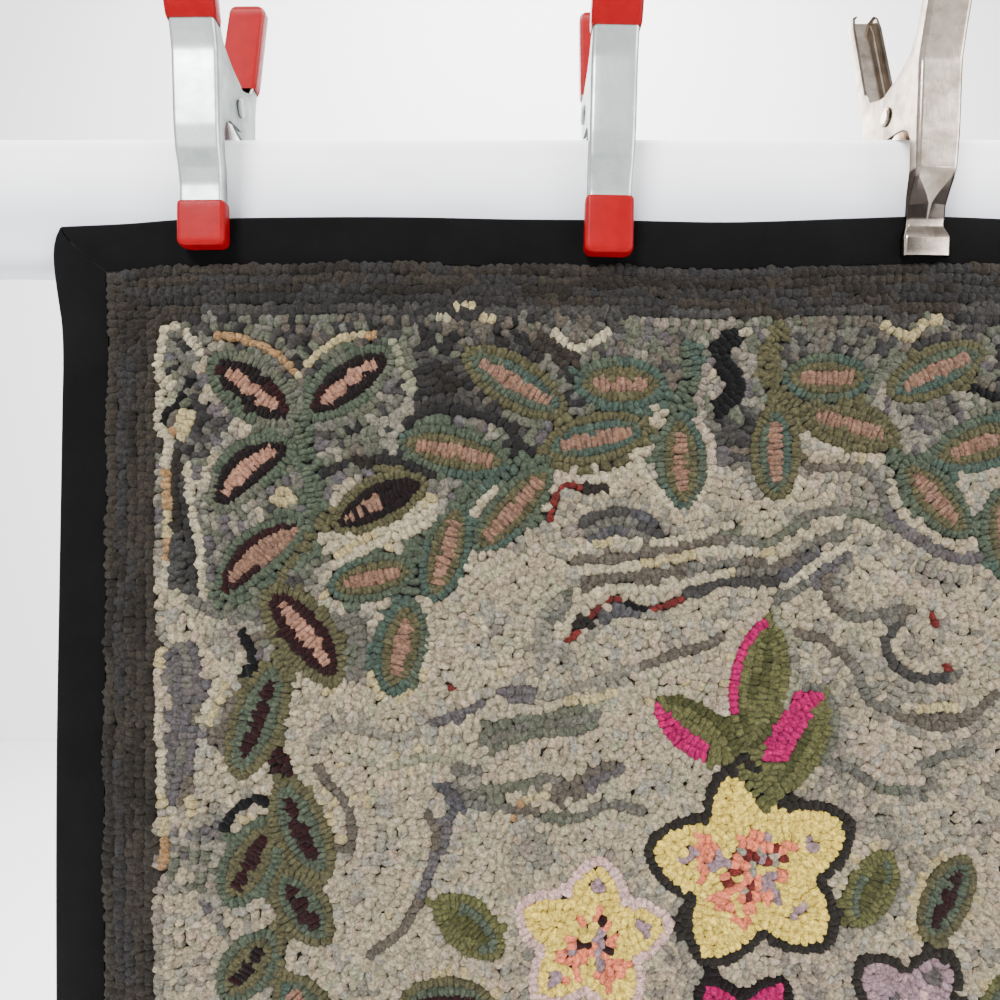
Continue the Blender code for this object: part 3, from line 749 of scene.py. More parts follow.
def hook_line(hooking, points, wools, pitch, across, chance, clearance=None, owner="motif"):
    """Hooks one row along a line, in runs of its wools."""
    clearance = clearance or 0.68 * min(pitch, across)
    places, turns, at = evenly(points, pitch, chance)
    run_ends, wool = 0.0, wools[0]
    for (along, down), turn, where in zip(places, turns, at):
        if where >= run_ends:
            run_ends = where + chance.uniform(8, 40)
            wool = chance.choice(wools)
        inside = min(along, RUG_WIDTH / MM - along, down, RUG_HEIGHT / MM - down)
        if inside < PILE_EDGE / MM + 1.5 or hooking.crowded(along, down, clearance):
            continue
        hooking.add(Loop(along, down, turn, pitch, across, wool))
    hooking.seed(points, owner)


def mirror_along(places):
    return tuple((MIRROR_ALONG - a, d) for a, d in places)


def mirror_down(places):
    return tuple((a, FULL_DOWN - d) for a, d in places)


def strayed(places, chance, reach):
    """Given points, each moved a little."""
    moved = [(a + chance.uniform(-reach, reach), d + chance.uniform(-reach, reach)) for a, d in places]
    return tuple(moved)


def mirrored_leaf(leaf, fold, chance):
    """A leaf's mirror image, a little different in length, width and bow."""
    base, tip = fold(strayed((leaf.base, leaf.tip), chance, 1.5))
    width = leaf.width * chance.uniform(0.94, 1.06)
    return leaf._replace(base=base, tip=tip, width=width, bow=chance.uniform(-1, 1) - leaf.bow)


def all_leaves(chance):
    """The leaves of the photographed corner, and their mirror images in the rest of the rug."""
    left = CHAIN_LEAVES + GARLAND_LEAVES
    top = left + RIGHT_LEAVES
    for leaf in GARLAND_LEAVES[-2:] + CHAIN_LEAVES:
        top.append(mirrored_leaf(leaf, mirror_along, chance))
    sides = SIDE_LEAVES + [mirrored_leaf(leaf, mirror_along, chance) for leaf in SIDE_LEAVES]
    upper = top + sides
    lower = [mirrored_leaf(leaf, mirror_down, chance) for leaf in upper]
    return upper + lower + BOUQUET_LEAVES


def leaf_side(leaf, inset, side):
    """One side of a leaf's row at an inset from its rim, from its base to its tip."""
    base, tip = np.array(leaf.base, float), np.array(leaf.tip, float)
    middle, reach = (base + tip) / 2, (tip - base) / 2
    half = np.linalg.norm(reach)
    way = reach / half
    normal = np.array((way[1], -way[0]))
    long = max(half - 0.75 * inset, 0.6)
    wide = max(leaf.width / 2 - inset, 0.0)
    t = np.sin(np.linspace(-math.pi / 2, math.pi / 2, 41))
    bulge = wide * np.maximum(1 - np.abs(t) ** 2.2, 0.0) ** 0.72
    bow = leaf.bow * (1 - (t * long / half) ** 2)
    return middle + np.outer(t * long, way) + np.outer(side * bulge + bow, normal)


def leaf_rows(width):
    """A leaf's rows from its rim inwards, as (inset, width) pairs. The last is its vein, which
    is wider than the others."""
    vein = min(VEIN_WIDTH, width - 2 * ROW)
    count = max(1, round((width - vein) / 2 / ROW))
    spacing = (width - vein) / 2 / count
    return [((i + 0.5) * spacing, spacing) for i in range(count)] + [(width / 2, vein)]


def hook_leaf(hooking, leaf, chance, pitch=LEAF_PITCH):
    scheme = SCHEMES[leaf.scheme]
    rows = leaf_rows(leaf.width)
    for i, (inset, wide) in enumerate(rows):
        wools = scheme.rim if i == 0 else scheme.ring
        if i == len(rows) - 1:
            hook_line(hooking, leaf_side(leaf, inset, 0), scheme.vein, pitch, wide, chance)
            continue
        for side in (-1, 1):
            line = leaf_side(leaf, inset, side)
            hook_line(hooking, line, wools, pitch, wide, chance, owner="leaf" if i == 0 else "inner")


def hook_bud(hooking, bud, chance):
    """A bud's rows run from its base to its tip side by side, those of one side magenta."""
    leaf = Leaf(bud.base, bud.tip, bud.width, "bouquet")
    count = round(bud.width / ROW)
    for i in range(count):
        aside = ((i + 0.5) / count * 2 - 1) * bud.width / 2
        side = bud.side if aside > 0 else -bud.side
        pink = i >= count - bud.rows
        wools = ("magenta",) if pink else ("leaf_olive", "leaf_olive", "deep_olive")
        owner = "leaf" if i in (0, count - 1) else "inner"
        line = leaf_side(leaf, bud.width / 2 - abs(aside), side)
        wide = bud.width / count
        if pink:
            green = int(BUD_GREEN * len(line))
            hook_line(hooking, line[:green], ("leaf_olive",), BUD_PITCH, wide, chance, owner=owner)
            line = line[green:]
        hook_line(hooking, line, wools, BUD_PITCH, wide, chance, owner=owner)


def hook_streak(hooking, streak, chance, pitch=PITCH, owner="streak"):
    """Hooks a streak's rows side by side along its line."""
    line = curve_through(streak.places)
    for i in range(streak.rows):
        offset = (i - (streak.rows - 1) / 2) * streak.wide * 0.92
        hook_line(hooking, beside(line, offset), streak.wools, pitch, streak.wide, chance, 2.7, owner)


def with_images(streaks, chance, reach):
    """The photographed streaks, and looser mirror images of them in the rest of the rug."""
    found = list(streaks)
    for streak in streaks:
        if all(MIRROR_ALONG - a > PHOTO_RIGHT + 4 for a, d in streak.places):
            found.append(streak._replace(places=mirror_along(strayed(streak.places, chance, reach))))
    lower = []
    for streak in found:
        if all(FULL_DOWN - d > 2 * PHOTO_LOW - 30 for a, d in streak.places):
            lower.append(streak._replace(places=mirror_down(strayed(streak.places, chance, reach))))
    return found + lower


def petal_edge(flower, turn):
    """A flower's radius at an angle: pointed petals with dips between them."""
    share = (turn - math.radians(flower.turn)) * flower.petals / math.tau
    from_tip = np.abs((share + 0.5) % 1.0 - 0.5) * 2
    return flower.radius * (1 - PETAL_DEPTH * from_tip**1.25)


def flower_outline(flower, inset):
    turn = np.linspace(0, math.tau, 240)
    radius = petal_edge(flower, turn) - inset
    return np.stack((flower.along + radius * np.cos(turn), flower.down - radius * np.sin(turn)), axis=1)


def flower_at(along, down):
    """The flower that a place lies in, with its distance and angle from the middle, or None."""
    for flower in FLOWERS:
        across, up = along - flower.along, flower.down - down
        radius, turn = math.hypot(across, up), math.atan2(up, across)
        if radius < petal_edge(flower, turn):
            return flower, radius, turn
    return None


def flower_wool(flower, radius, turn, chance):
    """The wool of a place in a flower: veins, flushes and specks round the heart."""
    share = (turn - math.radians(flower.turn)) * flower.petals / math.tau
    petal = int(math.floor(share + 0.5)) % flower.petals
    from_axis = abs((share + 0.5) % 1.0 - 0.5) * 2
    reach = radius / flower.radius
    if reach < 0.30:
        return chance.choice((flower.heart, flower.vein, flower.flush, flower.flush, flower.body))
    if from_axis < 0.16 and reach < 0.62 and petal % 2 == 0:
        return flower.vein
    if reach < 0.58 and petal in (2, 3) and from_axis < 0.75:
        return chance.choice((flower.flush, flower.flush, flower.body))
    return flower.body


def hook_flowers(hooking, chance):
    """The flowers' outline rows. Their insides are hooked with the ground's rows."""
    for flower in FLOWERS:
        for i in range(OUTLINE_ROWS):
            line = flower_outline(flower, ROW * (i + 0.5))
            hook_line(hooking, line, (flower.outline,), FLOWER_PITCH, ROW, chance, 2.7, "flower")


# The border's rows from the binding inwards: wools of the sides, and of the top and bottom.
BorderRow = namedtuple("BorderRow", "side level")
BORDER_ROWS = [
    BorderRow(("bark", "umber", "bark"), ("bark", "umber", "bark", "dusk")),
    BorderRow(("dusk", "umber", "dusk", "bark"), ("bark", "umber", "dusk")),
    BorderRow(("umber", "bark", "dusk", "bark"), ("bark", "dusk", "umber")),
    BorderRow(("bark", "umber"), ("dusk", "bark", "charcoal")),
    BorderRow(("bark", "umber", "bark"), ("bark", "slate", "dusk", "slate")),
]
BORDER_WOBBLE = 1.1


def hook_border(hooking, chance):
    """Rows parallel to the rug's edges, with square corners."""
    width, height = RUG_WIDTH / MM, RUG_HEIGHT / MM
    for i, row in enumerate(BORDER_ROWS):
        inset = PILE_EDGE / MM + ROW * (i + 0.5)
        right, low = width - inset, height - inset
        lines = (
            (row.side, (inset, inset), (inset, low)),
            (row.side, (right, inset), (right, low)),
            (row.level, (inset, inset), (right, inset)),
            (row.level, (inset, low), (right, low)),
        )
        last = "border" if i == len(BORDER_ROWS) - 1 else "outer"
        for wools, start, end in lines:
            line = curve_through((start, end))
            steps = len(line)
            knots = [chance.uniform(-BORDER_WOBBLE, BORDER_WOBBLE) for _ in range(steps // 22 + 2)]
            wobble = np.interp(np.linspace(0, len(knots) - 1, steps), range(len(knots)), knots)
            line = beside(line, wobble[:, None])
            hook_line(hooking, line, wools, BORDER_PITCH, ROW, chance, owner=last)


def folded(along, down):
    """Where the photographed part of the rug has the mirror image of a place."""
    if along > PHOTO_RIGHT:
        along = MIRROR_ALONG - along
    return along, min(down, FULL_DOWN - down)


def ground_light(along, down):
    """How light the ground is at a place: its near tone spots, mixed."""
    along, down = folded(along, down)
    total, weights = 0.0, 1e-9
    for spot in TONE_SPOTS:
        far = ((along - spot.along) ** 2 + (down - spot.down) ** 2) / spot.reach**2
        weight = 1.0 / (0.05 + far * far)
        total += weight * spot.light
        weights += weight
    return DARKEST + (1 - DARKEST) * total / weights


def ground_wool(light, draw):
    """The wool of a tone, by a draw from 0 to 1."""
    level = min(TONE_LEVELS, key=lambda row: abs(row.light - light))
    return level.wools[int(draw * len(level.wools)) % len(level.wools)]


def distance_field(hooking):
    """Distances to the nearest seeded line on a grid over the hooked field, smoothed away
    from the lines so that the rows between them flow."""
    start = PILE_EDGE / MM
    columns = np.arange(start, RUG_WIDTH / MM - start, GRID)
    rows = np.arange(start, RUG_HEIGHT / MM - start, GRID)
    tree = kdtree.KDTree(len(hooking.seeds))
    for i, (along, down) in enumerate(hooking.seeds):
        tree.insert((along, down, 0.0), i)
    tree.balance()
    field = np.array([[tree.find((a, d, 0.0))[2] for a in columns] for d in rows])
    freedom = smooth_step((field - 1.2 * ROW) / (2.5 * ROW))
    for _ in range(12):
        padded = np.pad(field, 1, mode="edge")
        mean = (padded[:-2, 1:-1] + padded[2:, 1:-1] + padded[1:-1, :-2] + padded[1:-1, 2:]) / 4
        field = field + freedom * 0.8 * (mean - field)
    return columns, rows, field, tree


def contour_lines(field, level):
    """The lines where a grid has a value, in grid steps: each cell's cut edges are linked,
    and the links are followed from cell to cell."""
    above = field > level
    height, width = field.shape
    cut_level = above[:, :-1] != above[:, 1:]
    cut_plumb = above[:-1, :] != above[1:, :]
    cells = cut_level[:-1] | cut_level[1:] | cut_plumb[:, :-1] | cut_plumb[:, 1:]
    links = {}
    for r, c in zip(*np.nonzero(cells)):
        edges = []
        if cut_level[r, c]:
            edges.append((r, c, 0))
        if cut_plumb[r, c]:
            edges.append((r, c, 1))
        if cut_level[r + 1, c]:
            edges.append((r + 1, c, 0))
        if cut_plumb[r, c + 1]:
            edges.append((r, c + 1, 1))
        for a, b in zip(edges[::2], edges[1::2]):
            links.setdefault(a, []).append(b)
            links.setdefault(b, []).append(a)

    def place(edge):
        r, c, plumb = edge
        near = field[r, c]
        far = field[r + 1, c] if plumb else field[r, c + 1]
        share = (level - near) / (far - near)
        return (c, r + share) if plumb else (c + share, r)

    ends = [edge for edge in links if len(links[edge]) == 1]
    lines, used = [], set()
    for start in ends + list(links):
        if start in used:
            continue
        line, edge = [start], start
        used.add(start)
        while True:
            onward = [other for other in links[edge] if other not in used]
            if not onward:
                break
            edge = onward[0]
            used.add(edge)
            line.append(edge)
        if len(line) > 2:
            lines.append(np.array([place(edge) for edge in line]))
    return lines


HALO_CREAM = 0.62  # how often a run beside a leaf on light ground is cream
HALO_LIGHT = 0.66


def hook_ground(hooking, chance):
    """Rows along the field's contours, from the seeded lines outwards, in runs of wool."""
    columns, rows, field, tree = distance_field(hooking)
    origin = np.array((columns[0], rows[0]))
    owners = hooking.owners
    level = 1
    while level * ROW < field.max():
        for line in contour_lines(field, level * ROW):
            points = origin + line * GRID
            for _ in range(2):
                points[1:-1] = (points[:-2] + 2 * points[1:-1] + points[2:]) / 4
            places, turns, at = evenly(points, PITCH, chance)
            run_ends = 0.0
            for (along, down), turn, where in zip(places, turns, at):
                if where >= run_ends:
                    run_ends = where + chance.uniform(RUN_SHORT, RUN_LONG)
                    spread, draw = chance.uniform(-1, 1), chance.random()
                    halo = chance.random() < HALO_CREAM
                place = (along, down)
                if hooking.crowded(along, down, CLEARANCE):
                    continue
                found = flower_at(along, down)
                if found:
                    wool = flower_wool(*found, chance)
                    hooking.add(Loop(along, down, turn, FLOWER_PITCH, ROW, wool))
                    continue
                light = ground_light(*place)
                if level == 1 and halo and owners[tree.find((along, down, 0.0))[1]] == "leaf":
                    light += 0.24 if light > HALO_LIGHT else 0.10
                stray = chance.random() < STRAY_LOOP
                tone = light + (DARK_SPREAD + (LIGHT_SPREAD - DARK_SPREAD) * min(light, 1.0)) * spread
                tone += chance.gauss(0, LOOP_SPREAD)
                wool = ground_wool(tone, chance.random() if stray else draw)
                hooking.add(Loop(along, down, turn, PITCH, ROW, wool))
        level += 1
    return columns, rows, field


ACCENTS = ("cream", "straw", "tan", "rust", "black")  # wools that stay within their streaks


def fill_bare_spots(hooking, columns, rows, field, chance):
    """Hooks a loop wherever the rows left the foundation bare, in its neighbour's wool."""
    tree = kdtree.KDTree(len(hooking.loops))
    for i, loop in enumerate(hooking.loops):
        tree.insert((loop.along, loop.down, 0.0), i)
    tree.balance()
    down_slope, along_slope = np.gradient(field)
    bare = []
    for r, down in enumerate(rows):
        for c, along in enumerate(columns):
            found = tree.find((along, down, 0.0))
            if found[2] > FILL_REACH:
                bare.append((-found[2], along, down, found[1], r, c))
    bare.sort()
    margin = PILE_EDGE / MM + ROW / 2
    for _, along, down, nearest, r, c in bare:
        rim = min(along, down, RUG_WIDTH / MM - along, RUG_HEIGHT / MM - down)
        if rim < margin or hooking.crowded(along, down, FILL_REACH):
            continue
        turn = math.atan2(-along_slope[r, c], down_slope[r, c])
        wool = hooking.loops[nearest].wool
        if wool in ACCENTS:
            wool = ground_wool(ground_light(along, down), chance.random())
        hooking.add(Loop(along, down, turn + chance.uniform(-0.3, 0.3), PITCH, ROW, wool))


def hooked_loops():
    """All the rug's loops."""
    chance = random.Random(SEED)
    hooking = Hooking()
    hook_border(hooking, chance)
    hook_streak(hooking, LEAF_SPOT, chance, LEAF_PITCH, "inner")
    for leaf in all_leaves(chance):
        hook_leaf(hooking, leaf, chance)
    for bud in BUDS:
        hook_bud(hooking, bud, chance)
    hook_flowers(hooking, chance)
    for stem in with_images(STEMS, chance, 0.0) + [BOUQUET_STEM]:
        hook_streak(hooking, stem, chance, LEAF_PITCH, "motif")
    for streak in with_images(STREAKS, chance, 2.5) + FLOW_LINES:
        hook_streak(hooking, streak, chance)
    columns, rows, field = hook_ground(hooking, chance)
    fill_bare_spots(hooking, columns, rows, field, chance)
    return hooking.loops


def mesh_piece(name, points, faces, material, crease=None):
    """A piece of the object from arrays of points and of faces with equally many corners. It
    rides on the part's only body."""
    faces = np.asarray(faces, np.int32)
    mesh = bpy.data.meshes.new(name)
    mesh.vertices.add(len(points))
    mesh.vertices.foreach_set("co", np.asarray(points, np.float32).ravel())
    mesh.loops.add(faces.size)
    mesh.loops.foreach_set("vertex_index", faces.ravel())
    mesh.polygons.add(len(faces))
    mesh.polygons.foreach_set("loop_start", np.arange(0, faces.size, faces.shape[1], dtype=np.int32))
    mesh.update(calc_edges=True)
    mesh.shade_smooth()
    if crease:
        mesh.set_sharp_from_angle(angle=math.radians(crease))
    mesh.materials.append(material)
    piece = bpy.data.objects.new(name, mesh)
    bpy.context.scene.collection.objects.link(piece)
    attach(piece, "root")
    return piece


def grid_faces(rows, columns, flip=False):
    """The faces of a grid of points, row by row."""
    start = (np.arange(rows - 1)[:, None] * columns + np.arange(columns - 1)).ravel()
    faces = np.stack((start, start + 1, start + columns + 1, start + columns), axis=1)
    return faces[:, ::-1] if flip else faces


def loft_faces(rings, corners):
    """The faces between rings of equally many points, one after the other."""
    near = np.arange(corners)
    far = (near + 1) % corners
    ring = np.stack((near, far, far + corners, near + corners), axis=1)
    faces = [ring + r * corners for r in range(rings - 1)]
    return np.vstack(faces)


def add_loft(name, rings, material, crease=40, flip=False):
    """A closed piece through rings of points, its ends closed by fans of quads and a middle."""
    rings = np.asarray(rings, float)
    count, corners = rings.shape[:2]
    points = rings.reshape(-1, 3)
    faces = loft_faces(count, corners)
    start_middle, end_middle = rings[0].mean(axis=0), rings[-1].mean(axis=0)
    points = np.vstack((points, start_middle, end_middle))
    near = np.arange(0, corners, 2)
    start, last = count * corners, (count - 1) * corners
    fan_start = np.stack((near, np.full_like(near, start), (near + 2) % corners, near + 1), axis=1)
    fan_end = np.stack((near, near + 1, (near + 2) % corners, np.full_like(near, 1)), axis=1) + last
    fan_end[:, 3] = start + 1
    faces = np.vstack((faces, fan_start, fan_end))
    if flip:
        faces = faces[:, ::-1]
    return mesh_piece(name, points, faces, material, crease)


# A loop's form, as shares of its half length along the row, of its half width and of its
# height: the wool strip arches along the row, and its edges are turned down.
ALONG_SHARES = np.array((-1.0, -0.46, 0.46, 1.0))
ALONG_HEIGHTS = np.array((0.50, 1.0, 1.0, 0.50))
ACROSS_SHARES = np.array((-1.0, -0.50, 0.50, 1.0))
ACROSS_HEIGHTS = np.array((0.56, 1.0, 1.0, 0.56))
LENGTH_FILL = 1.50  # a loop's length, as a share of its pitch: neighbours press together
WIDTH_FILL = 1.42
PEBBLE_PITCH = 3.8  # loops this far apart or more lie less in line
BACK_STITCH_LENGTH = 2.40  # a back stitch spans three loops
BACK_STITCH_WIDTH = 0.66
BACK_STITCH_RISE = 1.0


def wool_colours(loops, chance):
    """Each loop's linear colour: its wool's, a little lighter or darker, warmer or cooler."""
    colours = BRIGHTNESS * linear([WOOL[loop.wool] for loop in loops]) ** DEPTH
    lighter = 1 + LIGHT_SHIFT * chance.standard_normal((len(loops), 1))
    warmer = 2.5 * WARM_SHIFT * chance.standard_normal((len(loops), 1))
    return np.clip(colours * lighter * (1 + warmer * np.array((1.0, 0.1, -1.0))), 0.001, 1.0)


def add_colours(piece, colours):
    """Stores each point's colour, which the wool's material reads: the wool's own colour, and on the
    pile painted shade towards each loop's base.
    """
    stored = piece.data.color_attributes.new("wool", "FLOAT_COLOR", "POINT")
    stored.data.foreach_set("color", np.hstack((colours, np.ones((len(colours), 1)))).ravel())


def add_tiles(piece, tile, count, corners):
    """Gives each loop its own square of the piece's texture space."""
    side = math.ceil(math.sqrt(count))
    where = np.zeros(len(piece.data.loops), np.int32)
    piece.data.loops.foreach_get("vertex_index", where)
    loop, corner = where // corners, where % corners
    place = 0.06 + 0.88 * tile[corner]
    spots = (np.stack((loop % side, loop // side), axis=1) + place) / side
    layer = piece.data.uv_layers.new(name="OFBake")
    layer.data.foreach_set("uv", spots.astype(np.float32).ravel())


def add_pile_band(name, loops, material, chance):
    """One band of the pile: every loop is a small arch of folded wool strip."""
    u, v = (axis.ravel() for axis in np.meshgrid(ALONG_SHARES, ACROSS_SHARES, indexing="ij"))
    height = np.outer(ALONG_HEIGHTS, ACROSS_HEIGHTS).ravel()
    count, corners = len(loops), len(u)

    def draw(low, high):
        return chance.uniform(low, high, (count, 1))

    pitch = np.array([loop.pitch for loop in loops])[:, None]
    loose = np.where(pitch >= PEBBLE_PITCH, 1.0, 0.35)
    turn = np.array([loop.turn for loop in loops])[:, None] + loose * draw(-0.55, 0.55)
    long = pitch / 2 * LENGTH_FILL * (1 + loose * draw(-0.16, 0.20))
    wide = np.array([loop.across for loop in loops])[:, None] / 2 * WIDTH_FILL * draw(0.86, 1.14)
    x = long * (u * np.sqrt(1 - 0.34 * v**2) + draw(-0.20, 0.20) * (height > 0.7))
    y = wide * (v * np.sqrt(1 - 0.45 * u**2) + draw(-0.14, 0.14) * u)
    rise = height * (1 + draw(-0.20, 0.20) * u + draw(-0.20, 0.20) * v) * draw(0.88, 1.10)
    rise = rise + chance.uniform(-0.10, 0.10, (count, corners)) * (height > 0.5)
    x = x + chance.uniform(-0.22, 0.22, (count, corners))
    y = y + chance.uniform(-0.26, 0.26, (count, corners))
    along = np.array([loop.along for loop in loops])[:, None] + x * np.cos(turn) - y * np.sin(turn)
    down = np.array([loop.down for loop in loops])[:, None] + x * np.sin(turn) + y * np.cos(turn)
    along = along + loose * draw(-0.55, 0.55)
    down = down + loose * draw(-0.55, 0.55)
    points = hang(along * MM, down * MM, (LOOP_BASE + LOOP_HEIGHT * rise) * MM).reshape(-1, 3)
    face = grid_faces(len(ALONG_SHARES), len(ACROSS_SHARES), flip=False)
    faces = (face[None] + corners * np.arange(count)[:, None, None]).reshape(-1, 4)
    piece = mesh_piece(name, points, faces, material)
    # painted shade: each loop's colour darkens towards its edges and base, where its neighbours would
    # shade it
    shade = 0.76 + 0.24 * np.clip(height, 0, 1)
    fleck = chance.uniform(0.78, 1.22, (count, corners))
    colours = wool_colours(loops, chance)[:, None, :] * (shade * fleck)[:, :, None]
    add_colours(piece, colours.reshape(-1, 3))
    tile = np.stack(((u + 1) / 2, (v + 1) / 2), axis=1)
    add_tiles(piece, tile, count, corners)
    return piece


def add_back_stitches(loops, material, chance):
    """The short flat stitches between the loops, which show on the rug's back."""
    count = len(loops)
    u = np.array((-1.0, 1.0, 1.0, -1.0, 0.0))
    v = np.array((-1.0, -1.0, 1.0, 1.0, 0.0))
    turn = np.array([loop.turn for loop in loops])[:, None] + chance.uniform(-0.15, 0.15, (count, 1))
    x = u * np.array([loop.pitch for loop in loops])[:, None] / 2 * BACK_STITCH_LENGTH
    y = v * np.array([loop.across for loop in loops])[:, None] / 2 * BACK_STITCH_WIDTH
    along = np.array([loop.along for loop in loops])[:, None] + x * np.cos(turn) - y * np.sin(turn)
    down = np.array([loop.down for loop in loops])[:, None] + x * np.sin(turn) + y * np.cos(turn)
    depth = HEM_BACK + 0.1 * MM - (u == 0) * BACK_STITCH_RISE * MM
    points = hang(along * MM, down * MM, depth).reshape(-1, 3)
    face = np.array(((0, 1, 4), (1, 2, 4), (2, 3, 4), (3, 0, 4)))
    faces = (face[None] + 5 * np.arange(count)[:, None, None]).reshape(-1, 3)
    piece = mesh_piece("back_stitches", points, faces, material)
    colours = np.repeat(wool_colours(loops, chance) * 0.9, 5, axis=0)
    add_colours(piece, colours)
    tile = np.array(((0, 0), (1, 0), (1, 1), (0, 1), (0.5, 0.5)))
    add_tiles(piece, tile, count, 5)
    return piece


FOUNDATION_COLUMNS = 38
FOUNDATION_ROWS = 52


def add_foundation(material):
    """The burlap that the loops are hooked through, with its hem in the binding's fold."""
    along = np.linspace(HEM_EDGE, RUG_WIDTH - HEM_EDGE, FOUNDATION_COLUMNS)
    down = np.linspace(HEM_EDGE, RUG_HEIGHT - HEM_EDGE, FOUNDATION_ROWS)
    grid_along, grid_down = np.meshgrid(along, down)
    front = hang(grid_along, grid_down, HEM_FRONT).reshape(-1, 3)
    back = hang(grid_along, grid_down, HEM_BACK).reshape(-1, 3)
    size = FOUNDATION_ROWS * FOUNDATION_COLUMNS
    index = np.arange(size).reshape(FOUNDATION_ROWS, FOUNDATION_COLUMNS)
    ring = np.concatenate((index[0], index[1:, -1], index[-1, -2::-1], index[-2:0:-1, 0]))
    after = np.roll(ring, -1)
    wall = np.stack((ring, after, after + size, ring + size), axis=1)
    faces = np.vstack(
        (
            grid_faces(FOUNDATION_ROWS, FOUNDATION_COLUMNS, flip=True),
            grid_faces(FOUNDATION_ROWS, FOUNDATION_COLUMNS) + size,
            wall,
        )
    )
    return mesh_piece("foundation", np.vstack((front, back)), faces, material, 40)


def add_rug(materials):
    hooked = hooked_loops()
    chance = np.random.default_rng(SEED)
    loops = sorted(hooked, key=lambda loop: loop.down)
    foundation = add_foundation(materials["burlap"])
    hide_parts("hooked_panel")
    for band in range(BANDS):
        share = loops[len(loops) * band // BANDS : len(loops) * (band + 1) // BANDS]
        piece = add_pile_band(f"pile_{band + 1}", share, materials["wool"], chance)
        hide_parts("hooked_panel")
    add_back_stitches(hooked[::3], materials["wool"], chance)


BINDING_STEPS = 110
FOLD_STEPS = 10
PUCKER = 0.0005


def binding_profile():
    """The folded tape's cross-section as (inset, depth, front share) rows."""
    half = BINDING_THICKNESS / 2
    tight = half - TAPE_THICKNESS
    outside, inside = [], []
    for row in BINDING_FACE:
        depth = BINDING_THICKNESS + BINDING_CROWN * row.swell
        outside.append((BINDING_WIDTH * row.inset, depth, 1.0))
        inside.append((BINDING_WIDTH * row.inset, depth - TAPE_THICKNESS, 1.0))
    for i in range(FOLD_STEPS + 1):
        turn = math.pi * i / FOLD_STEPS
        front = 1 - i / FOLD_STEPS
        outside.append((half - half * math.sin(turn), half + half * math.cos(turn), front))
        inside.append((half - tight * math.sin(turn), half + tight * math.cos(turn), front))
    for row in reversed(BINDING_FACE):
        outside.append((BINDING_WIDTH * row.inset, 0.0, 0.0))
        inside.append((BINDING_WIDTH * row.inset, TAPE_THICKNESS, 0.0))
    return np.array(outside + inside[::-1])


def pucker(at, inset, phase):
    """How far the tape's face is drawn in: shallow, uneven troughs across it."""
    wave = np.sin(at * 210 + phase) * np.sin(at * 83 + 2 * phase + 40 * inset)
    fine = np.sin(at * 520 + 3 * phase + 90 * inset) * np.sin(at * 61 + phase)
    return PUCKER * (0.5 + 0.32 * wave + 0.18 * fine) * smooth_step(inset / 0.006)


def add_binding(name, length, place, phase, material):
    """One length of the binding tape, mitred at both ends."""
    inset, depth, front = binding_profile().T
    share = (1 - np.cos(np.pi * np.arange(BINDING_STEPS + 1) / BINDING_STEPS)) / 2
    share = 0.5 * share + 0.5 * np.linspace(0, 1, BINDING_STEPS + 1)
    start = inset + MITRE_GAP
    at = start + (length - 2 * start) * share[:, None]
    drawn = depth - front * pucker(at, inset, phase)
    rings = place(at, np.broadcast_to(inset, at.shape), drawn)
    count, corners = rings.shape[:2]
    faces = loft_faces(count, corners)
    half = corners // 2
    near = np.arange(half - 1)
    cap = np.stack((near, near + 1, corners - 2 - near, corners - 1 - near), axis=1)
    last = (count - 1) * corners
    faces = np.vstack((faces, cap[:, ::-1], cap + last))
    piece = mesh_piece(name, rings.reshape(-1, 3), faces, material, 60)
    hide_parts(name)
    return piece


def add_bindings(materials):
    wide, high = RUG_WIDTH, RUG_HEIGHT
    cloth = materials["binding"]
    pieces = (
        add_binding("binding_top", wide, lambda at, inset, depth: hang(at, inset, depth), 0.4, cloth),
        add_binding(
            "binding_bottom", wide, lambda at, inset, depth: hang(at, high - inset, depth), 1.9, cloth
        ),
        add_binding("binding_left", high, lambda at, inset, depth: hang(inset, at, depth), 3.1, cloth),
        add_binding(
            "binding_right", high, lambda at, inset, depth: hang(wide - inset, at, depth), 4.6, cloth
        ),
    )
    return pieces


def new_material(name):
    """An empty material with a Principled shader, its tree, its shader and its object
    coordinates."""
    material = bpy.data.materials.new(name)
    material.use_nodes = True
    tree = material.node_tree
    shader = tree.nodes["Principled BSDF"]
    place = tree.nodes.new("ShaderNodeTexCoord").outputs["Object"]
    return material, tree, shader, place


def put(tree, kind, settings=None, **links):
    """Adds a node, with its settings, and with values or links for its inputs."""
    node = tree.nodes.new(kind)
    for name, value in (settings or {}).items():
        setattr(node, name, value)
    for name, value in links.items():
        numbered = name[0] == "i" and name[1:].isdigit()
        socket = node.inputs[int(name[1:]) if numbered else name]
        if isinstance(value, bpy.types.NodeSocket):
            tree.links.new(value, socket)
        else:
            socket.default_value = value
    return node


def noise(tree, place, scale, detail=3.0, roughness=0.5):
    return put(
        tree, "ShaderNodeTexNoise", Vector=place, Scale=scale, Detail=detail, Roughness=roughness
    ).outputs["Fac"]


def ramp(tree, factor, low, high, start=0.0, end=1.0):
    """A value that runs from low to high as the factor runs from start to end."""
    node = put(tree, "ShaderNodeMapRange", i0=factor, i1=start, i2=end, i3=low, i4=high)
    return node.outputs[0]


def maths(tree, operation, *values):
    node = tree.nodes.new("ShaderNodeMath")
    node.operation = operation
    for socket, value in zip(node.inputs, values):
        if isinstance(value, bpy.types.NodeSocket):
            tree.links.new(value, socket)
        else:
            socket.default_value = value
    return node.outputs[0]


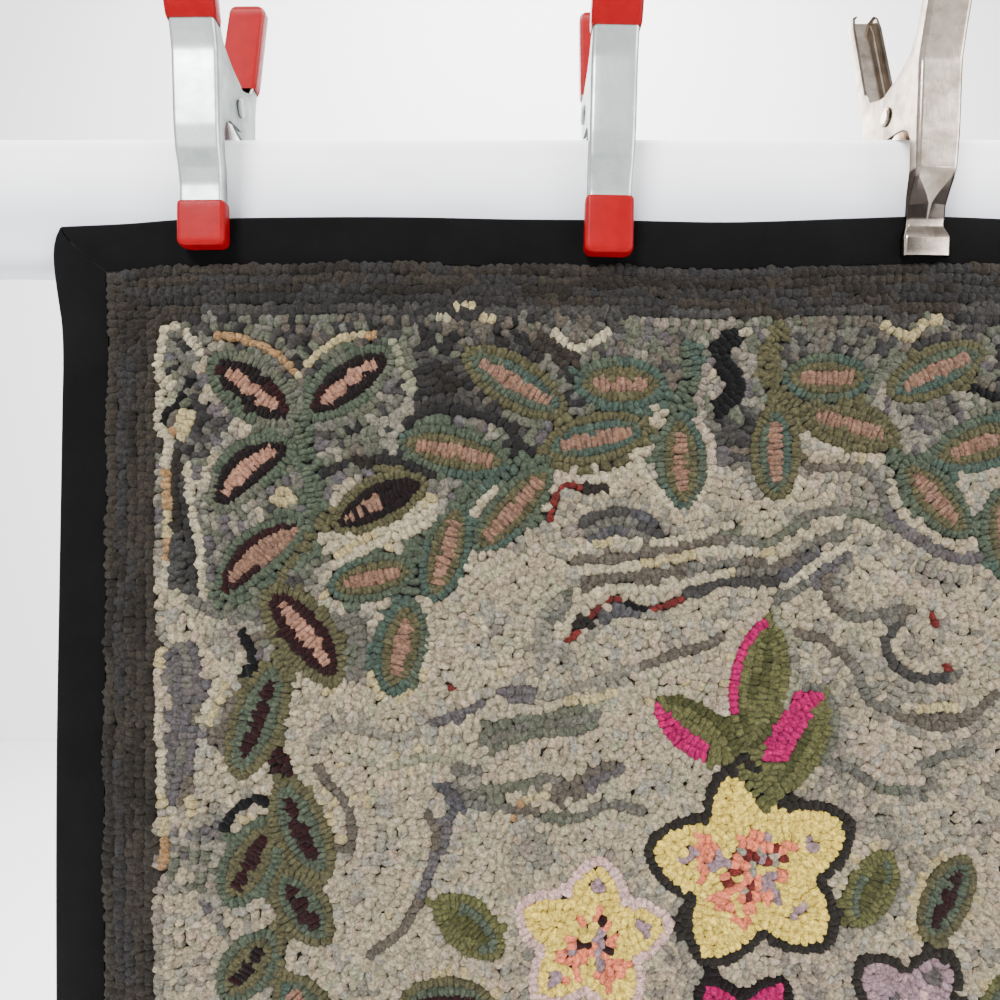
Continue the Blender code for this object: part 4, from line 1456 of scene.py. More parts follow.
def mixed(tree, factor, first, second, blend="MIX"):
    """A colour mixed from two."""
    node = tree.nodes.new("ShaderNodeMix")
    node.data_type = "RGBA"
    node.blend_type = blend
    for socket, value in zip((node.inputs[0], node.inputs[6], node.inputs[7]), (factor, first, second)):
        if isinstance(value, bpy.types.NodeSocket):
            tree.links.new(value, socket)
        else:
            socket.default_value = value
    return node.outputs[2]


def grey(tree, value):
    """A grey of a value, as a colour."""
    node = tree.nodes.new("ShaderNodeCombineColor")
    for socket in node.inputs:
        tree.links.new(value, socket)
    return node.outputs[0]


def bump(tree, shader, height, strength, distance):
    node = put(tree, "ShaderNodeBump", Height=height, Strength=strength, Distance=distance)
    tree.links.new(node.outputs["Normal"], shader.inputs["Normal"])


def stretched(tree, place, scales):
    return put(tree, "ShaderNodeMapping", Vector=place, Scale=scales).outputs["Vector"]


def solid(colour):
    return (*[float(c) for c in linear(colour)], 1.0)


def wool_material():
    """Felted wool strips: heathered colour, fine fibres and a soft sheen."""
    material, tree, shader, place = new_material("wool")
    # the stored colour carries the pile's painted shade at the loops' bases
    colour = put(tree, "ShaderNodeAttribute", {"attribute_name": "wool"}).outputs["Color"]
    heather = ramp(tree, noise(tree, place, 520, 5, 0.85), 0.50, 1.50, 0.40, 0.60)
    tweed = ramp(tree, noise(tree, place, 300, 2, 0.5), 0.88, 1.12, 0.3, 0.7)
    shade = grey(tree, maths(tree, "MULTIPLY", heather, tweed))
    tree.links.new(mixed(tree, 1.0, colour, shade, "MULTIPLY"), shader.inputs["Base Color"])
    fibres = noise(tree, place, 1400, 3, 0.65)
    lumps = noise(tree, place, 620, 3, 0.6)
    bump(tree, shader, maths(tree, "ADD", fibres, maths(tree, "MULTIPLY", lumps, 2.0)), 1.0, 0.0009)
    shader.inputs["Roughness"].default_value = 0.93
    shader.inputs["Specular IOR Level"].default_value = 0.10
    shader.inputs["Sheen Weight"].default_value = 0.04
    shader.inputs["Sheen Roughness"].default_value = 0.5
    return material


def weave_height(tree, place, threads):
    """A plain weave's height, with so many threads in a metre each way."""
    across = put(tree, "ShaderNodeSeparateXYZ", Vector=place)
    waves = []
    for axis, shift in (("X", 0.0), ("Z", math.pi / 2)):
        turned = maths(tree, "MULTIPLY", across.outputs[axis], math.tau * threads)
        waves.append(maths(tree, "SINE", maths(tree, "ADD", turned, shift)))
    return maths(tree, "MULTIPLY", waves[0], waves[1])


def burlap_material():
    """Coarse jute cloth, brown on its back and painted near black on its front as the shade between the
    loops, with its open weave as relief.
    """
    material, tree, shader, place = new_material("burlap")
    weave = weave_height(tree, place, 480)
    fleck = ramp(tree, noise(tree, place, 260, 4, 0.6), 0.0, 1.0, 0.3, 0.7)
    jute = mixed(tree, fleck, solid((0.47, 0.38, 0.26)), solid((0.60, 0.50, 0.36)))
    # painted shade: the front of the cloth, seen between the loops and beside the binding, is coloured
    # near black; its back keeps the jute's colour
    facing = put(tree, "ShaderNodeNewGeometry").outputs["Normal"]
    towards = put(tree, "ShaderNodeSeparateXYZ", Vector=facing).outputs["Y"]
    front = ramp(tree, towards, 1.0, 0.0, -0.3, 0.3)
    colour = mixed(tree, front, jute, solid((0.152, 0.143, 0.130)))
    tree.links.new(colour, shader.inputs["Base Color"])
    bump(tree, shader, weave, 0.8, 0.0004)
    shader.inputs["Roughness"].default_value = 0.95
    return material


def binding_material():
    """Black cotton tape: a fine twill, a little faded in cloudy patches, with pale lint."""
    material, tree, shader, place = new_material("binding_tape")
    parts = put(tree, "ShaderNodeSeparateXYZ", Vector=place).outputs
    lean = maths(tree, "ADD", parts["X"], maths(tree, "MULTIPLY", parts["Z"], 1.0))
    twill = maths(tree, "SINE", maths(tree, "MULTIPLY", lean, math.tau * 900))
    faded = ramp(tree, noise(tree, place, 24, 4, 0.6), 0.0, 1.0, 0.35, 0.75)
    colour = mixed(tree, faded, solid((0.020, 0.018, 0.020)), solid((0.040, 0.036, 0.039)))
    lint = ramp(tree, noise(tree, place, 1300, 2, 0.6), 0.0, 0.14, 0.66, 0.80)
    colour = mixed(tree, lint, colour, solid((0.26, 0.24, 0.23)))
    tree.links.new(colour, shader.inputs["Base Color"])
    cloth = maths(tree, "ADD", twill, maths(tree, "MULTIPLY", noise(tree, place, 600, 3, 0.6), 1.6))
    bump(tree, shader, cloth, 0.35, 0.00025)
    shader.inputs["Roughness"].default_value = 0.92
    shader.inputs["Specular IOR Level"].default_value = 0.06
    shader.inputs["Sheen Weight"].default_value = 0.01
    shader.inputs["Sheen Roughness"].default_value = 0.55
    return material


def white_cloth_material():
    """The rail's cotton cover: near white, greyed low down by painted shade just above the rug,
    with faint marks and a fine weave."""
    material, tree, shader, place = new_material("rail_cotton")
    clouds = noise(tree, stretched(tree, place, (1.0, 1.0, 2.5)), 14, 5, 0.6)
    marks = ramp(tree, clouds, 0.0, 1.0, 0.35, 0.8)
    colour = mixed(tree, marks, solid((0.980, 0.982, 0.988)), solid((0.930, 0.930, 0.940)))
    height = put(tree, "ShaderNodeSeparateXYZ", Vector=place).outputs["Z"]
    # painted shade: the cover's colour greys towards its lower edge, where it meets the rug
    painted_low_shade = ramp(tree, height, 1.0, 0.0, -0.008, 0.022)
    colour = mixed(tree, painted_low_shade, colour, solid((0.760, 0.775, 0.805)))
    tree.links.new(colour, shader.inputs["Base Color"])
    weave = weave_height(tree, place, 1500)
    slubs = noise(tree, stretched(tree, place, (0.25, 1.0, 1.0)), 700, 3, 0.6)
    bump(tree, shader, maths(tree, "ADD", weave, slubs), 0.22, 0.0002)
    shader.inputs["Roughness"].default_value = 0.85
    shader.inputs["Sheen Weight"].default_value = 0.15
    return material


def metal_material(name, colour, dull, painted_dark, roughness, grain):
    """Plated steel: brushed along the arm, with cloudy patches, and darkened where each point stores a
    painted dark reflection.
    """
    material, tree, shader, place = new_material(name)
    clouds = noise(tree, place, 90, 4, 0.6)
    tone = ramp(tree, clouds, 0.0, 1.0, 0.35, 0.7)
    plate = mixed(tree, tone, solid(colour), solid(dull))
    # painted dark reflection: a share stored at each point mixes the plate towards a dark colour
    painted_dark_reflection = put(tree, "ShaderNodeAttribute", {"attribute_name": "painted_dark_reflection"}).outputs["Fac"]
    tree.links.new(mixed(tree, painted_dark_reflection, plate, solid(painted_dark)), shader.inputs["Base Color"])
    scratches = noise(tree, stretched(tree, place, (1.0, 1.0, 0.06)), 2600, 3, 0.7)
    uneven = maths(tree, "ADD", ramp(tree, clouds, 0.0, 1.0), maths(tree, "MULTIPLY", scratches, 0.6))
    rough = ramp(tree, uneven, roughness[0], roughness[1], 0.4, 1.2)
    tree.links.new(rough, shader.inputs["Roughness"])
    relief = maths(tree, "ADD", scratches, maths(tree, "MULTIPLY", clouds, 2.0))
    bump(tree, shader, relief, grain, 0.0002)
    shader.inputs["Metallic"].default_value = 1.0
    shader.inputs["Specular Tint"].default_value = METAL_EDGE
    return material


def vinyl_material():
    """Dipped vinyl: bright red, a little uneven where the dip ran."""
    material, tree, shader, place = new_material("dipped_vinyl")
    drift = ramp(tree, noise(tree, place, 130, 3, 0.5), 0.0, 1.0, 0.3, 0.7)
    colour = mixed(tree, drift, solid((0.490, 0.000, 0.026)), solid((0.450, 0.000, 0.022)))
    tree.links.new(colour, shader.inputs["Base Color"])
    scuffs = ramp(tree, noise(tree, place, 500, 4, 0.7), 0.34, 0.52, 0.3, 0.75)
    tree.links.new(scuffs, shader.inputs["Roughness"])
    bump(tree, shader, noise(tree, place, 220, 3, 0.5), 0.12, 0.0004)
    shader.inputs["Specular IOR Level"].default_value = 0.10
    return material


def stage_material():
    material, tree, shader, place = new_material("stage_pale")
    shader.inputs["Base Color"].default_value = solid((0.93, 0.93, 0.93))
    shader.inputs["Roughness"].default_value = 0.8
    return material


# Plate colours: bright, dull in cloudy patches, and the dark colour of each plate's painted reflection.
ZINC = (0.75, 0.77, 0.765)
ZINC_DULL = (0.62, 0.65, 0.645)
ZINC_PAINTED_DARK = (0.33, 0.34, 0.33)
NICKEL = (0.74, 0.69, 0.64)
NICKEL_DULL = (0.54, 0.49, 0.44)
NICKEL_PAINTED_DARK = (0.16, 0.14, 0.135)
METAL_EDGE = (0.45, 0.45, 0.45, 1.0)  # a dull plate's reflection at a glance


def make_materials():
    zinc = metal_material("zinc_plate", ZINC, ZINC_DULL, ZINC_PAINTED_DARK, (0.30, 0.46), 0.12)
    nickel = metal_material("nickel_plate", NICKEL, NICKEL_DULL, NICKEL_PAINTED_DARK, (0.10, 0.24), 0.10)
    return {
        "wool": wool_material(),
        "burlap": burlap_material(),
        "binding": binding_material(),
        "rail": white_cloth_material(),
        "zinc_steel": zinc,
        "nickel_steel": nickel,
        "red_vinyl": vinyl_material(),
        "stage": stage_material(),
    }


# Soft creases of the rail's cover on its front: where they start and end along the rail
# and up it, how deep they are and how wide.
Crease = namedtuple("Crease", "start end depth width")
RAIL_CREASES = [
    Crease((-0.430, -0.020), (-0.300, -0.012), 0.0013, 0.006),
    Crease((-0.352, 0.030), (-0.336, -0.004), 0.0015, 0.006),
    Crease((-0.240, -0.006), (-0.120, -0.011), 0.0016, 0.005),
    Crease((-0.215, 0.022), (-0.175, 0.004), 0.0012, 0.007),
    Crease((-0.085, 0.026), (-0.062, -0.008), 0.0014, 0.006),
    Crease((-0.040, -0.004), (0.085, -0.009), 0.0016, 0.005),
    Crease((0.030, 0.020), (0.070, 0.006), 0.0012, 0.008),
    Crease((0.130, 0.030), (0.150, -0.006), 0.0014, 0.006),
    Crease((0.190, -0.006), (0.300, -0.010), 0.0015, 0.005),
    Crease((0.330, 0.026), (0.350, -0.020), 0.0015, 0.007),
    Crease((0.390, 0.004), (0.445, -0.010), 0.0013, 0.006),
]
RAIL_STEPS = 230
RAIL_CORNER_STEPS = 7
RAIL_SIDE_STEPS = 9
RAIL_END_STEPS = 4
RAIL_END_SOFT = 0.0035
LOW_DIP = 0.0013  # a long trough just above the rug's edge
LOW_HEIGHT = -0.0055
LOW_WIDTH = 0.0055
SEAM_DEPTH = 0.0011
SEAM_WIDTH = 0.0030
SEAM_HEIGHT = -0.018  # the cover's seam runs along the rail's back, low down


def rail_outline(inset):
    """Points round the rail's section, as (depth, height), with their directions outwards."""
    half_deep, half_high = RAIL_DEPTH / 2 - inset, RAIL_HEIGHT / 2 - inset
    radius = max(RAIL_RADIUS - inset, 0.002)
    points, outwards = [], []
    for quarter in range(4):
        across = 1 if quarter in (0, 3) else -1
        up = 1 if quarter in (0, 1) else -1
        for step in range(RAIL_CORNER_STEPS + 1):
            turn = math.pi / 2 * (quarter + step / RAIL_CORNER_STEPS)
            way = (math.cos(turn), math.sin(turn))
            middle = (across * (half_deep - radius), up * (half_high - radius))
            points.append((middle[0] + radius * way[0], middle[1] + radius * way[1]))
            outwards.append(way)
        if quarter in (0, 2):
            sign, side = -across, up
            run = np.linspace(across * (half_deep - radius), sign * (half_deep - radius), 4)[1:-1]
            points += [(y, side * half_high) for y in run]
            outwards += [(0.0, side)] * len(run)
        else:
            side = across
            reach = up * (half_high - radius)
            run = np.linspace(reach, -reach, RAIL_SIDE_STEPS + 1)[1:-1]
            points += [(side * half_deep, z) for z in run]
            outwards += [(side, 0.0)] * len(run)
    return np.array(points), np.array(outwards)


def crease_depth(x, z):
    """How deep the rail's cover is creased at places on its front."""
    total = np.zeros(np.broadcast(x, z).shape)
    for crease in RAIL_CREASES:
        start, end = np.array(crease.start), np.array(crease.end)
        way = end - start
        share = ((x - start[0]) * way[0] + (z - start[1]) * way[1]) / (way @ way)
        held = np.clip(share, 0, 1)
        off = np.hypot(x - start[0] - held * way[0], z - start[1] - held * way[1])
        shape = np.exp(-((off / crease.width) ** 2))
        total = total + crease.depth * shape * smooth_step(1.5 * np.sin(np.pi * held) + 0.2)
    uneven = 0.65 + 0.35 * np.sin(x * 21 + 1.0) * np.sin(x * 58)
    dip = LOW_DIP * uneven * np.exp(-(((z - LOW_HEIGHT) / LOW_WIDTH) ** 2))
    return total + dip


def add_rail(materials):
    """The padded rail in its cotton cover: soft creases in front, a seam behind, and folded ends."""
    half = RAIL_LENGTH / 2
    xs = np.concatenate(
        (
            -half + RAIL_END_SOFT * (1 - np.cos(np.linspace(0, np.pi / 2, RAIL_END_STEPS))),
            np.linspace(-half + RAIL_END_SOFT, half - RAIL_END_SOFT, RAIL_STEPS)[1:-1],
            half - RAIL_END_SOFT * (1 - np.cos(np.linspace(np.pi / 2, 0, RAIL_END_STEPS))),
        )
    )
    rings = []
    for x in xs:
        near_end = max(0.0, abs(x) - (half - RAIL_END_SOFT)) / RAIL_END_SOFT
        inset = RAIL_END_SOFT * (1 - math.sqrt(max(0.0, 1 - near_end**2)))
        outline, outwards = rail_outline(inset)
        y, z = outline.T
        front = smooth_step((-y - RAIL_DEPTH / 2 + 0.004) / 0.004)
        back = smooth_step((y - RAIL_DEPTH / 2 + 0.004) / 0.004)
        seam = SEAM_DEPTH * np.exp(-(((z - SEAM_HEIGHT) / SEAM_WIDTH) ** 2))
        pull = 0.35 * seam * math.sin(x * 190) * math.sin(x * 47 + 1)
        drawn = front * crease_depth(x, z) + back * (seam + pull)
        drawn = drawn + 0.0002 * (1 + np.sin(x * 37 + z * 60) * np.sin(x * 91 - z * 35))
        outline = outline - outwards * drawn[:, None]
        rings.append(np.column_stack((np.full(len(outline), x), outline)))
    piece = add_loft("rail_cover", rings, materials["rail"], 50)
    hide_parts("rail")
    return piece


# The spring clamps, as their solids have them: heights run up from a clamp's jaw ends, and
# distances run out from the middle plane between its two arms.
STEEL = 0.0015
STEEL_BEND = 0.0023
STEEL_INSIDE_BEND = 0.0009
STEEL_EDGE = 0.0003
PIN_HEIGHT = 0.085
PIN_RADIUS = 0.0028
SLEEVE_WALL = 0.0010
SLEEVE_CORNER = 0.0026
SLEEVE_END_CORNER = 0.0034
SLEEVE_LIP = 0.0004
GRIP_LENGTH = 0.062
INNER_EAR_CLEARANCE = 0.0004
JAW_FACE = (RAIL_DEPTH + BINDING_THICKNESS + BINDING_CROWN + 3 * GAP) / 2
CLAMP_MIDDLE_Y = RAIL_DEPTH / 2 + GAP - JAW_FACE
JAW_FLANGE = 0.008
JAW_WEB = JAW_FACE + SLEEVE_WALL + GAP + JAW_FLANGE
SOFTENING = 0.0011  # how far along the arm a change in its section is spread
POINT_LOW = 0.0245  # the bare clamp's web is pressed to a point here
POINT_HIGH = 0.0460
FACET_LEAN = 0.28  # how far back the facets beside it fall, for their width
FACET_FADE = 0.0045
POINT_EDGE = 0.0006
# Painted dark reflection on the arms: darker colour on every arm's side walls and ears, and on the bare
# clamp's pressed facets, the slope above its jaw and its lip.
FACET_PAINTED_DARK = 0.95  # how dark the facets' painted reflection is, from 0 to 1
SLOPE_PAINTED_DARK = 0.45
SLOPE_MIDDLE = 0.0135
WALL_PAINTED_DARK = 0.60
LIP_PAINTED_DARK = 0.50
LIP_HEIGHT = 0.0105
LIP_DRIFT = 0.6  # how much darker the lip's painted reflection is at one end
FACET_FOOT = 0.0192  # the facets' painted dark reflection runs down to here
WALL_PAINTED_DARK_DEPTH = 0.0028  # how far behind the web's face the side wall's painted dark reflection starts
WALL_PAINTED_DARK_FADE = 0.0030
FACET_FOOT_FADE = 0.0010
FACET_TOP_FADE = 0.004
SLOPE_HALF = 0.0015  # half of the painted dark slope's height, and the width of its fade
SLOPE_FADE = 0.0020
LIP_MARGIN = 0.0006  # the bright rim round the lip's painted dark reflection, and the width of its fade
LIP_FADE = 0.0010
ARM_END_ROUND = 0.0028
PLAIN_CREASE = 38  # degrees beyond which an edge of the arm is sharp
POINTED_CREASE = 14
SLEEVE_CREASE = 55
RING_SPACING = 0.006
RING_LEAST = 0.0006
HOLE_REACH = 0.06
ArmStation = namedtuple("ArmStation", "height web flange width")
EAR = 0.004
SLEEVED_ARM = [
    ArmStation(0.000, JAW_WEB, JAW_FLANGE, 0.0232),
    ArmStation(0.031, JAW_WEB, JAW_FLANGE, 0.0232),
    ArmStation(0.040, JAW_WEB + 0.0016, JAW_FLANGE, 0.0238),
    ArmStation(0.048, JAW_WEB + 0.0044, JAW_FLANGE, 0.0242),
    ArmStation(0.060, JAW_WEB + 0.0062, JAW_FLANGE, 0.0244),
    ArmStation(0.0665, JAW_WEB + 0.0065, 0.0115, 0.0245),
    ArmStation(0.0700, JAW_WEB + 0.0067, 0.0180, 0.0245),
    ArmStation(0.0715, JAW_WEB + 0.0068, 0.0260, 0.0245),
    ArmStation(0.0722, JAW_WEB + 0.0068, JAW_WEB + 0.0068 + EAR, 0.0245),
    ArmStation(0.0980, JAW_WEB + 0.0080, JAW_WEB + 0.0080 + EAR, 0.0245),
    ArmStation(0.1005, JAW_WEB + 0.0085, 0.0250, 0.0245),
    ArmStation(0.1060, JAW_WEB + 0.0100, 0.0130, 0.0244),
    ArmStation(0.1140, JAW_WEB + 0.0125, 0.0090, 0.0242),
    ArmStation(0.1440, JAW_WEB + 0.0225, 0.0090, 0.0238),
    ArmStation(0.1740, JAW_WEB + 0.0325, 0.0090, 0.0234),
]
BARE_SLIMMER = 0.0016
BARE_ARM = [
    ArmStation(0.000, JAW_FACE + 0.0052, 0.0052, 0.0250),
    ArmStation(0.010, JAW_FACE + 0.0056, 0.0056, 0.0250),
    ArmStation(0.0115, JAW_FACE + 0.0050, 0.0050, 0.0244),
    ArmStation(0.016, JAW_FACE + 0.0032, 0.0032, 0.0206),
    ArmStation(0.019, JAW_FACE + 0.0036, 0.0034, 0.0206),
    ArmStation(0.032, JAW_FACE + 0.0090, 0.0070, 0.0212),
    ArmStation(0.044, JAW_FACE + 0.0140, JAW_FLANGE, 0.0222),
] + [row._replace(width=row.width - BARE_SLIMMER) for row in SLEEVED_ARM[4:]]
Clamp = namedtuple("Clamp", "name along below lean sleeve")
CLAMPS = [
    Clamp("clamp_1", 0.0808, 0.0179, -0.4, 0.0226),
    Clamp("clamp_2", 0.2970, 0.0217, 1.2, 0.0290),
    Clamp("clamp_3", 0.4680, 0.0217, 0.6, 0.0),
    Clamp("clamp_4", 0.6570, 0.0200, -1.3, 0.0250),
]


def arm_at(rows, height):
    """The arm's station at a height, its changes softened a little along the arm."""
    heights = [row.height for row in rows]
    found = []
    for field in (1, 2, 3):
        values = [row[field] for row in rows]
        near = np.interp((height - SOFTENING, height, height + SOFTENING), heights, values)
        found.append(near[0] / 4 + near[1] / 2 + near[2] / 4)
    return ArmStation(height, *found)


def arc(middle, radius, start, turn, steps):
    """Points on an arc, in degrees."""
    angles = [math.radians(start + turn * i / steps) for i in range(steps + 1)]
    return [(middle[0] + radius * math.cos(a), middle[1] + radius * math.sin(a)) for a in angles]


def facet(height, across, half):
    """How far the bare clamp's web falls back beside its pressed point, which narrows down."""
    wide = half * smooth_step((height - POINT_LOW) / (POINT_HIGH - POINT_LOW))
    lean = FACET_LEAN * smooth_step((height - POINT_LOW + FACET_FADE) / FACET_FADE)
    return lean * max(0.0, abs(across) - wide)


def channel(station, narrower, pointed):
    """The pressed channel's section, as (across, out): a web with a rounded bend into a flange
    at each side, and eased edges."""
    half = station.width / 2 - narrower
    web, edge = station.web, station.web - station.flange
    bend, tight, ease = STEEL_BEND, STEEL_INSIDE_BEND, STEEL_EDGE
    side = facet(station.height, half - bend, half) if pointed else 0.0
    wide = half / 2
    if pointed:
        wide = half * smooth_step((station.height - POINT_LOW) / (POINT_HIGH - POINT_LOW))
    wide = min(max(wide, 0.0001), half - bend - 0.0001)
    right = [(half - ease, edge), (half, edge + ease)]
    right += arc((half - bend, web - side - bend), bend, 0, 90, 8)
    beside = min(wide + POINT_EDGE, half - bend - 0.00005)
    fall = side * (beside - wide) / (half - bend - wide)
    right += [(beside, web - fall), (wide, web)]
    left = [(-x, out) for x, out in right[::-1]]
    inner_half, inner_web = half - STEEL, web - side - STEEL
    inner = [(-inner_half - ease, edge), (-inner_half, edge + ease)]
    inner += arc((-inner_half + tight, inner_web - tight), tight, 180, -90, 3)
    return right + left + inner + [(-x, out) for x, out in inner[::-1]]


def clamp_place(clamp, side):
    """The matrix from a clamp's own frame (across, out, up) to the world. The back arm faces
    the other way."""
    jaw_z = RUG_TOP_Z - clamp.below + (SLEEVE_WALL + GAP if clamp.sleeve else 0.0)
    turn = Matrix.Rotation(math.radians(clamp.lean), 4, "Y")
    x = clamp.along - RUG_WIDTH / 2
    return Matrix.Translation((x, CLAMP_MIDDLE_Y, jaw_z)) @ turn @ Matrix.Diagonal((1, side, 1, 1))


def placed(rings, matrix):
    return [[tuple(matrix @ Vector(point)) for point in ring] for ring in rings]


def arm_heights(rows):
    """Heights of an arm's rings: close together where its section changes."""
    found = set()
    for row in rows:
        for shift in (-SOFTENING, 0.0, SOFTENING):
            found.add(round(min(max(row.height + shift, 0.0), rows[-1].height), 5))
    for i in range(int(rows[-1].height / RING_SPACING)):
        found.add(round(i * RING_SPACING + 0.003, 5))
    kept = [0.0]
    for height in sorted(found):
        if height - kept[-1] > RING_LEAST:
            kept.append(height)
    kept[-1] = rows[-1].height
    return kept


def drilled(piece, place, radius, reach):
    """Cuts a round hole through a piece, along the X of a place."""
    build = bmesh.new()
    bmesh.ops.create_cone(
        build,
        cap_ends=True,
        segments=24,
        radius1=radius,
        radius2=radius,
        depth=reach,
        matrix=place @ Matrix.Rotation(math.pi / 2, 4, "Y"),
    )
    cutter_mesh = bpy.data.meshes.new("drill")
    build.to_mesh(cutter_mesh)
    build.free()
    cutter = bpy.data.objects.new("drill", cutter_mesh)
    bpy.context.scene.collection.objects.link(cutter)
    hole = piece.modifiers.new("hole", "BOOLEAN")
    hole.object = cutter
    bpy.context.view_layer.update()
    cut = bpy.data.meshes.new_from_object(piece.evaluated_get(bpy.context.evaluated_depsgraph_get()))
    piece.modifiers.clear()
    piece.data = cut
    cut.name = piece.name
    bpy.data.objects.remove(cutter)


def add_painted_dark_reflection(arm, clamp, rows, side):
    """Stores a painted dark reflection at each point of an arm: on its side walls and ears, and on
    the bare clamp on the pressed facets, the slope above its jaw and its lip."""
    inwards = clamp_place(clamp, side).inverted()
    painted_dark_reflection = []
    for point in arm.data.vertices:
        across, out, height = inwards @ point.co
        station = arm_at(rows, height)
        value = WALL_PAINTED_DARK * smooth_step((station.web - out - WALL_PAINTED_DARK_DEPTH) / WALL_PAINTED_DARK_FADE)
        if not clamp.sleeve:
            half = station.width / 2
            wide = half * smooth_step((height - POINT_LOW) / (POINT_HIGH - POINT_LOW))
            low = smooth_step((height - FACET_FOOT) / FACET_FOOT_FADE)
            high = 1 - smooth_step((height - POINT_HIGH + FACET_TOP_FADE / 2) / FACET_TOP_FADE)
            beside = smooth_step((abs(across) - wide) / POINT_EDGE)
            slope = 1 - smooth_step((abs(height - SLOPE_MIDDLE) - SLOPE_HALF) / SLOPE_FADE)
            inside = min(height, LIP_HEIGHT - height, half - abs(across))
            lip = LIP_PAINTED_DARK * smooth_step((inside - LIP_MARGIN) / LIP_FADE)
            lip *= 1 - LIP_DRIFT * across / half
            value = max(value, FACET_PAINTED_DARK * low * high * beside, SLOPE_PAINTED_DARK * slope, lip)
        painted_dark_reflection.append(value)
    stored = arm.data.attributes.new("painted_dark_reflection", "FLOAT", "POINT")
    stored.data.foreach_set("value", painted_dark_reflection)


def add_arm(clamp, rows, side, narrower, name, material):
    """One pressed-steel arm: jaw, pivot ears and handle in one bent channel."""
    rings = []
    pointed = not clamp.sleeve
    for height in arm_heights(rows):
        station = arm_at(rows, height)
        end = rows[-1].height - height
        near = min(height, end) if clamp.sleeve else end
        eased = max(0.0, ARM_END_ROUND - near)
        station = station._replace(width=station.width - 2 * eased**2 / ARM_END_ROUND)
        rings.append([(x, out, height) for x, out in channel(station, narrower, pointed)])
    crease = POINTED_CREASE if pointed else PLAIN_CREASE
    arm = loft_piece(name, placed(rings, clamp_place(clamp, side)), material, crease)
    pivot = clamp_place(clamp, 1) @ Matrix.Translation((0, 0, PIN_HEIGHT))
    drilled(arm, pivot, PIN_RADIUS + GAP, HOLE_REACH)
    add_painted_dark_reflection(arm, clamp, rows, side)
    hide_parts(name)


def loft_piece(name, rings, material, crease):
    """A closed piece through open-sided or round rings, its ends closed by single faces."""
    build = bmesh.new()
    lines = [[build.verts.new(point) for point in ring] for ring in rings]
    for near, far in zip(lines, lines[1:]):
        for i in range(len(near)):
            j = (i + 1) % len(near)
            build.faces.new((near[i], near[j], far[j], far[i]))
    build.faces.new(reversed(lines[0]))
    build.faces.new(lines[-1])
    bmesh.ops.recalc_face_normals(build, faces=build.faces)
    mesh = bpy.data.meshes.new(name)
    build.to_mesh(mesh)
    build.free()
    mesh.shade_smooth()
    mesh.set_sharp_from_angle(angle=math.radians(crease))
    mesh.materials.append(material)
    piece = bpy.data.objects.new(name, mesh)
    bpy.context.scene.collection.objects.link(piece)
    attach(piece, "root")
    return piece


def rounded_rectangle(half_wide, half_high, radius, steps):
    """Points round a rectangle with round corners, in its own plane."""
    radius = min(radius, half_wide, half_high)
    points = []
    for quarter in range(4):
        across = 1 if quarter in (0, 3) else -1
        up = 1 if quarter in (0, 1) else -1
        middle = (across * (half_wide - radius), up * (half_high - radius))
        points += arc(middle, radius, 90 * quarter, 90, steps)
    return points


def sleeve_ring(station, grow, height, narrower, corner, pinch=0.0):
    """A ring round the channel's section, grow outside it, and drawn in at the sides."""
    half_deep = station.flange / 2
    half_wide = station.width / 2 - narrower
    outline = rounded_rectangle(half_wide + grow - pinch, half_deep + grow - 0.35 * pinch, corner, 5)
    middle = station.web - half_deep
    return [(x, middle + out, height) for x, out in outline]


def add_sleeve(clamp, rows, side, narrower, name, opening, end, material):
    """A dipped vinyl sleeve over an arm's end: open at one height and closed past the other,
    its end rounded off and its lip thinned where the dip stopped."""
    way = 1 if end > opening else -1
    outer = GAP + SLEEVE_WALL
    at_end = arm_at(rows, end)
    rings = [sleeve_ring(at_end, 0.4 * GAP, end + way * 0.4 * GAP, narrower, 0.0008, 0.0022)]
    for share in (0.96, 0.9, 0.5, 0.0):
        height = opening + (end - opening) * share
        rings.append(sleeve_ring(arm_at(rows, height), GAP * 0.8, height, narrower, 0.0012))
    lip = outer - 2 * SLEEVE_LIP
    rings.append(sleeve_ring(arm_at(rows, opening), lip, opening, narrower, SLEEVE_CORNER))
    straight_end = end + way * (outer - SLEEVE_END_CORNER)
    for share in (0.03, 0.08, 0.2, 0.35, 0.5, 0.65, 0.8, 0.92, 1.0):
        height = opening + (straight_end - opening) * share
        grow = outer - SLEEVE_LIP * math.exp(-share * 20)
        rings.append(sleeve_ring(arm_at(rows, height), grow, height, narrower, SLEEVE_CORNER))
    for step in range(1, 7):
        turn = math.radians(90 * step / 6)
        height = straight_end + way * SLEEVE_END_CORNER * math.sin(turn)
        pinch = SLEEVE_END_CORNER * (1 - math.cos(turn))
        rings.append(sleeve_ring(at_end, outer, height, narrower, SLEEVE_CORNER, pinch))
    piece = loft_piece(name, placed(rings, clamp_place(clamp, side)), material, SLEEVE_CREASE)
    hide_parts(name)


def add_clamp(clamp, materials):
    rows = SLEEVED_ARM if clamp.sleeve else BARE_ARM
    slot = "zinc_steel" if clamp.sleeve else "nickel_steel"
    inner = STEEL + INNER_EAR_CLEARANCE
    top = rows[-1].height
    for label, side, narrower in (("front", -1, 0.0), ("back", 1, inner)):
        name = f"{clamp.name}_{label}"
        add_arm(clamp, rows, side, narrower, name + "_arm", materials[slot])
        if clamp.sleeve:
            vinyl = materials["red_vinyl"]
            add_sleeve(clamp, rows, side, narrower, name + "_tip", clamp.sleeve, 0.0, vinyl)
            add_sleeve(clamp, rows, side, narrower, name + "_grip", top - GRIP_LENGTH, top, vinyl)
    for small in ("_pin", "_spring"):
        node = bpy.data.objects[clamp.name + small]
        for place in node.material_slots:
            place.material = materials[slot]


